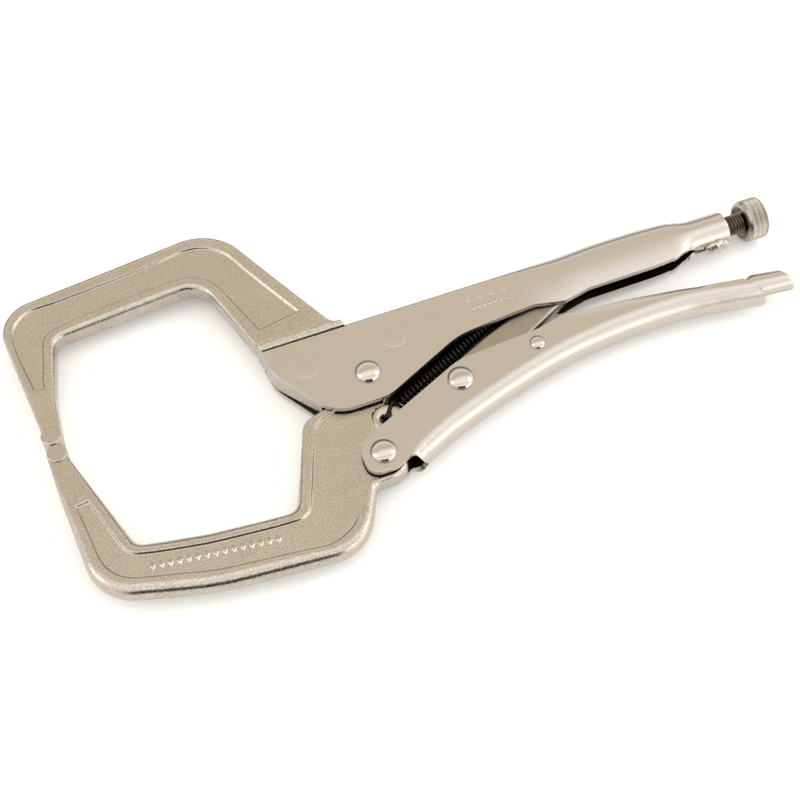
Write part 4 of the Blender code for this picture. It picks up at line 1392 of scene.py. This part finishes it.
@dataclass
class Studio:
    """Pale floor, soft lights and the camera."""

    lens: float = 63.0
    camera_place: tuple[float, float, float] = (-88.35, -258.6, 424.33)
    camera_turn: tuple[float, float, float] = (32.0, 0.0, -21.26)

    def build(self) -> None:
        """Set up everything that is not the tool."""
        self._floor()
        self._camera()
        self._world()
        self._lamp("left", (-0.95, 0.10, 0.55), (0.0, 0.0, 0.0), 0.4, 0.7, 1.0, "FFFFFF")
        self._lamp("right", (0.95, -0.15, 0.70), (0.0, 0.0, 0.0), 0.4, 0.7, 1.2, "FFFFFF")
        self._lamp("front", (0.36, -0.45, 0.20), (0.06, 0.0, 0.0), 0.50, 0.30, 0.55, "FFF8F0")

    def _floor(self) -> None:
        """Lay the flat white floor just under the tool."""
        count, half, gap = 41, 3.0, 0.0002
        span = np.linspace(-1.0, 1.0, count) * half
        x, y = np.meshgrid(span, span, indexing="ij")
        points = np.stack([x, y, np.full_like(x, CAD_BOX[0][2] - gap)], -1).reshape(-1, 3)
        mesh = bpy.data.meshes.new("floor")
        mesh.from_pydata(points.tolist(), [], grid_quads(count, count).tolist())
        floor = bpy.data.objects.new("floor", mesh)
        bpy.context.scene.collection.objects.link(floor)
        # The board's glow near the tool is a painted pool of light.
        board = Paint("matt_white_board", "F0F0EF", "EBEBEA", roughness=0.6, mottle_mm=60.0, glow=0.16,
                      lit_to=0.38, dim_from=0.9)
        mesh.materials.append(board.make())

    def _camera(self) -> None:
        """Stand the camera over the lower left of the tool."""
        camera = bpy.data.objects.new("camera", bpy.data.cameras.new("camera"))
        camera.data.lens = self.lens
        camera.data.sensor_width = 36.0
        camera.data.clip_start = 0.01
        camera.location = PLAN_ZERO + np.array(self.camera_place) * MM
        camera.rotation_euler = [math.radians(a) for a in self.camera_turn]
        bpy.context.scene.collection.objects.link(camera)
        bpy.context.scene.camera = camera
        bpy.context.scene.view_settings.view_transform = "Standard"

    def _world(self) -> None:
        """Light the room: bright above and behind the tool, dim low in front."""
        world = bpy.data.worlds.new("studio")
        tree = fresh_tree(world)
        place = add_node(tree, "ShaderNodeTexCoord").outputs["Generated"]
        part = add_node(tree, "ShaderNodeSeparateXYZ", None, {"Vector": place}).outputs
        lean = add_node(tree, "ShaderNodeMath", {"operation": "ARCTAN2"}, {0: part["Y"], 1: part["Z"]})
        share = add_node(tree, "ShaderNodeMapRange", {
            "From Min": math.radians(SKY_REACH), "From Max": math.radians(-SKY_REACH),
        }, {"Value": lean.outputs[0]}).outputs["Result"]
        ramp = add_node(tree, "ShaderNodeValToRGB", None, {"Fac": share})
        ramp.color_ramp.interpolation = "EASE"
        stops = ramp.color_ramp.elements
        stops[0].position, stops[0].color = 0.0, (0.10, 0.10, 0.10, 1.0)
        stops[1].position, stops[1].color = 1.0, (0.02, 0.02, 0.02, 1.0)
        for lean_degrees, tone in SKY:
            stop = stops.new((SKY_REACH + lean_degrees) / (2.0 * SKY_REACH))
            stop.color = (*tone, 1.0)
        down = add_node(tree, "ShaderNodeMath", {"operation": "MULTIPLY", 1: -1.0}, {0: part["Y"]}).outputs[0]
        heading = add_node(tree, "ShaderNodeMath", {
            "operation": "ARCTAN2",
        }, {0: part["X"], 1: down}).outputs[0]
        right = self._band(tree, heading, RIGHT_BOX)
        left = self._band(tree, heading, LEFT_BOX)
        side = add_node(tree, "ShaderNodeMath", {"operation": "ADD"}, {0: right, 1: left}).outputs[0]
        glow = add_node(tree, "ShaderNodeMix", {
            "data_type": "RGBA", 6: (0.0, 0.0, 0.0, 1.0), 7: (*SIDE_LIGHT, 1.0),
        }, {0: side}).outputs[2]
        sky = add_node(tree, "ShaderNodeMix", {
            "data_type": "RGBA", "blend_type": "LIGHTEN", 0: 1.0,
        }, {6: ramp.outputs["Color"], 7: glow}).outputs[2]
        back = add_node(tree, "ShaderNodeBackground", {"Strength": 1.0}, {"Color": sky})
        add_node(tree, "ShaderNodeOutputWorld", None, {"Surface": back.outputs["Background"]})
        bpy.context.scene.world = world

    @staticmethod
    def _band(tree: bpy.types.NodeTree, angle: bpy.types.NodeSocket, spread: tuple) -> bpy.types.NodeSocket:
        """Let one stretch of the horizon through, with soft ends.

        Args:
            tree: The world's node tree.
            angle: The angle round the tool, in radians.
            spread: Where it starts, is full, starts to fade and ends, in degrees.

        Returns:
            A share from 0 to 1.
        """
        begin, full, fade, stop = (math.radians(degrees) for degrees in spread)
        ends = [add_node(tree, "ShaderNodeMapRange", {
            "interpolation_type": "SMOOTHSTEP", "From Min": low, "From Max": high,
        }, {"Value": angle}).outputs["Result"] for low, high in ((begin, full), (stop, fade))]
        return add_node(tree, "ShaderNodeMath", {"operation": "MULTIPLY"},
                        {0: ends[0], 1: ends[1]}).outputs[0]

    def _lamp(self, name: str, place: tuple[float, float, float], aim: tuple[float, float, float],
              width: float, height: float, power: float, tone: str) -> None:
        """Hang one soft box.

        Args:
            name: The lamp's name.
            place: Where it hangs, in metres.
            aim: The point it faces.
            width: Its width in metres.
            height: Its height in metres.
            power: Its power in watts.
            tone: Its colour as sRGB hex.
        """
        lamp = bpy.data.lights.new(name, "AREA")
        lamp.shape = "RECTANGLE"
        lamp.size, lamp.size_y = width, height
        lamp.energy = power
        lamp.color = linear(tone)[:3]
        holder = bpy.data.objects.new(name, lamp)
        holder.location = place
        direction = np.array(aim) - np.array(place)
        flat = math.hypot(direction[0], direction[1])
        heading = math.atan2(-direction[0], direction[1])
        holder.rotation_euler = (math.atan2(flat, -direction[2]), 0.0, heading)
        bpy.context.scene.collection.objects.link(holder)


def main() -> None:
    """Build the pliers sub-assembly by sub-assembly, then the studio."""
    logging.basicConfig(level=logging.INFO, format="%(message)s")
    FixedJaw().build()
    MovingJaw().build()
    UpperHandle().build()
    LowerHandle().build()
    ReleaseLever().build()
    ToggleLink().build()
    Adjuster().build()
    joints = ("handle_fold", "toggle_swing", "release_lift")
    handle_pivot, link_pivot, lever_pivot = (plan_of(name) for name in joints)
    Rivet("jaw_rivet", "jaw_pivot_rivet", (0.0, 0.0), Body.UPPER_HANDLE).build()
    Rivet("handle_rivet", "handle_pivot_rivet", tuple(handle_pivot[:2]), Body.LOWER_HANDLE).build()
    Rivet("link_rivet", "link_pivot_rivet", tuple(link_pivot[:2]), Body.LOWER_HANDLE, head=4.9).build()
    Rivet("lever_rivet", "lever_pivot_rivet", tuple(lever_pivot[:2]), Body.LOWER_HANDLE,
          head=2.9, height=1.5, shank=1.8).build()
    FlushRivet("front_tang_rivet", "tang_rivet_front", (-20.0, 9.7)).build()
    FlushRivet("rear_tang_rivet", "tang_rivet_rear", (14.0, 10.9)).build()
    ReturnSpring().build()
    Studio().build()


if __name__ == "__main__":
    main()
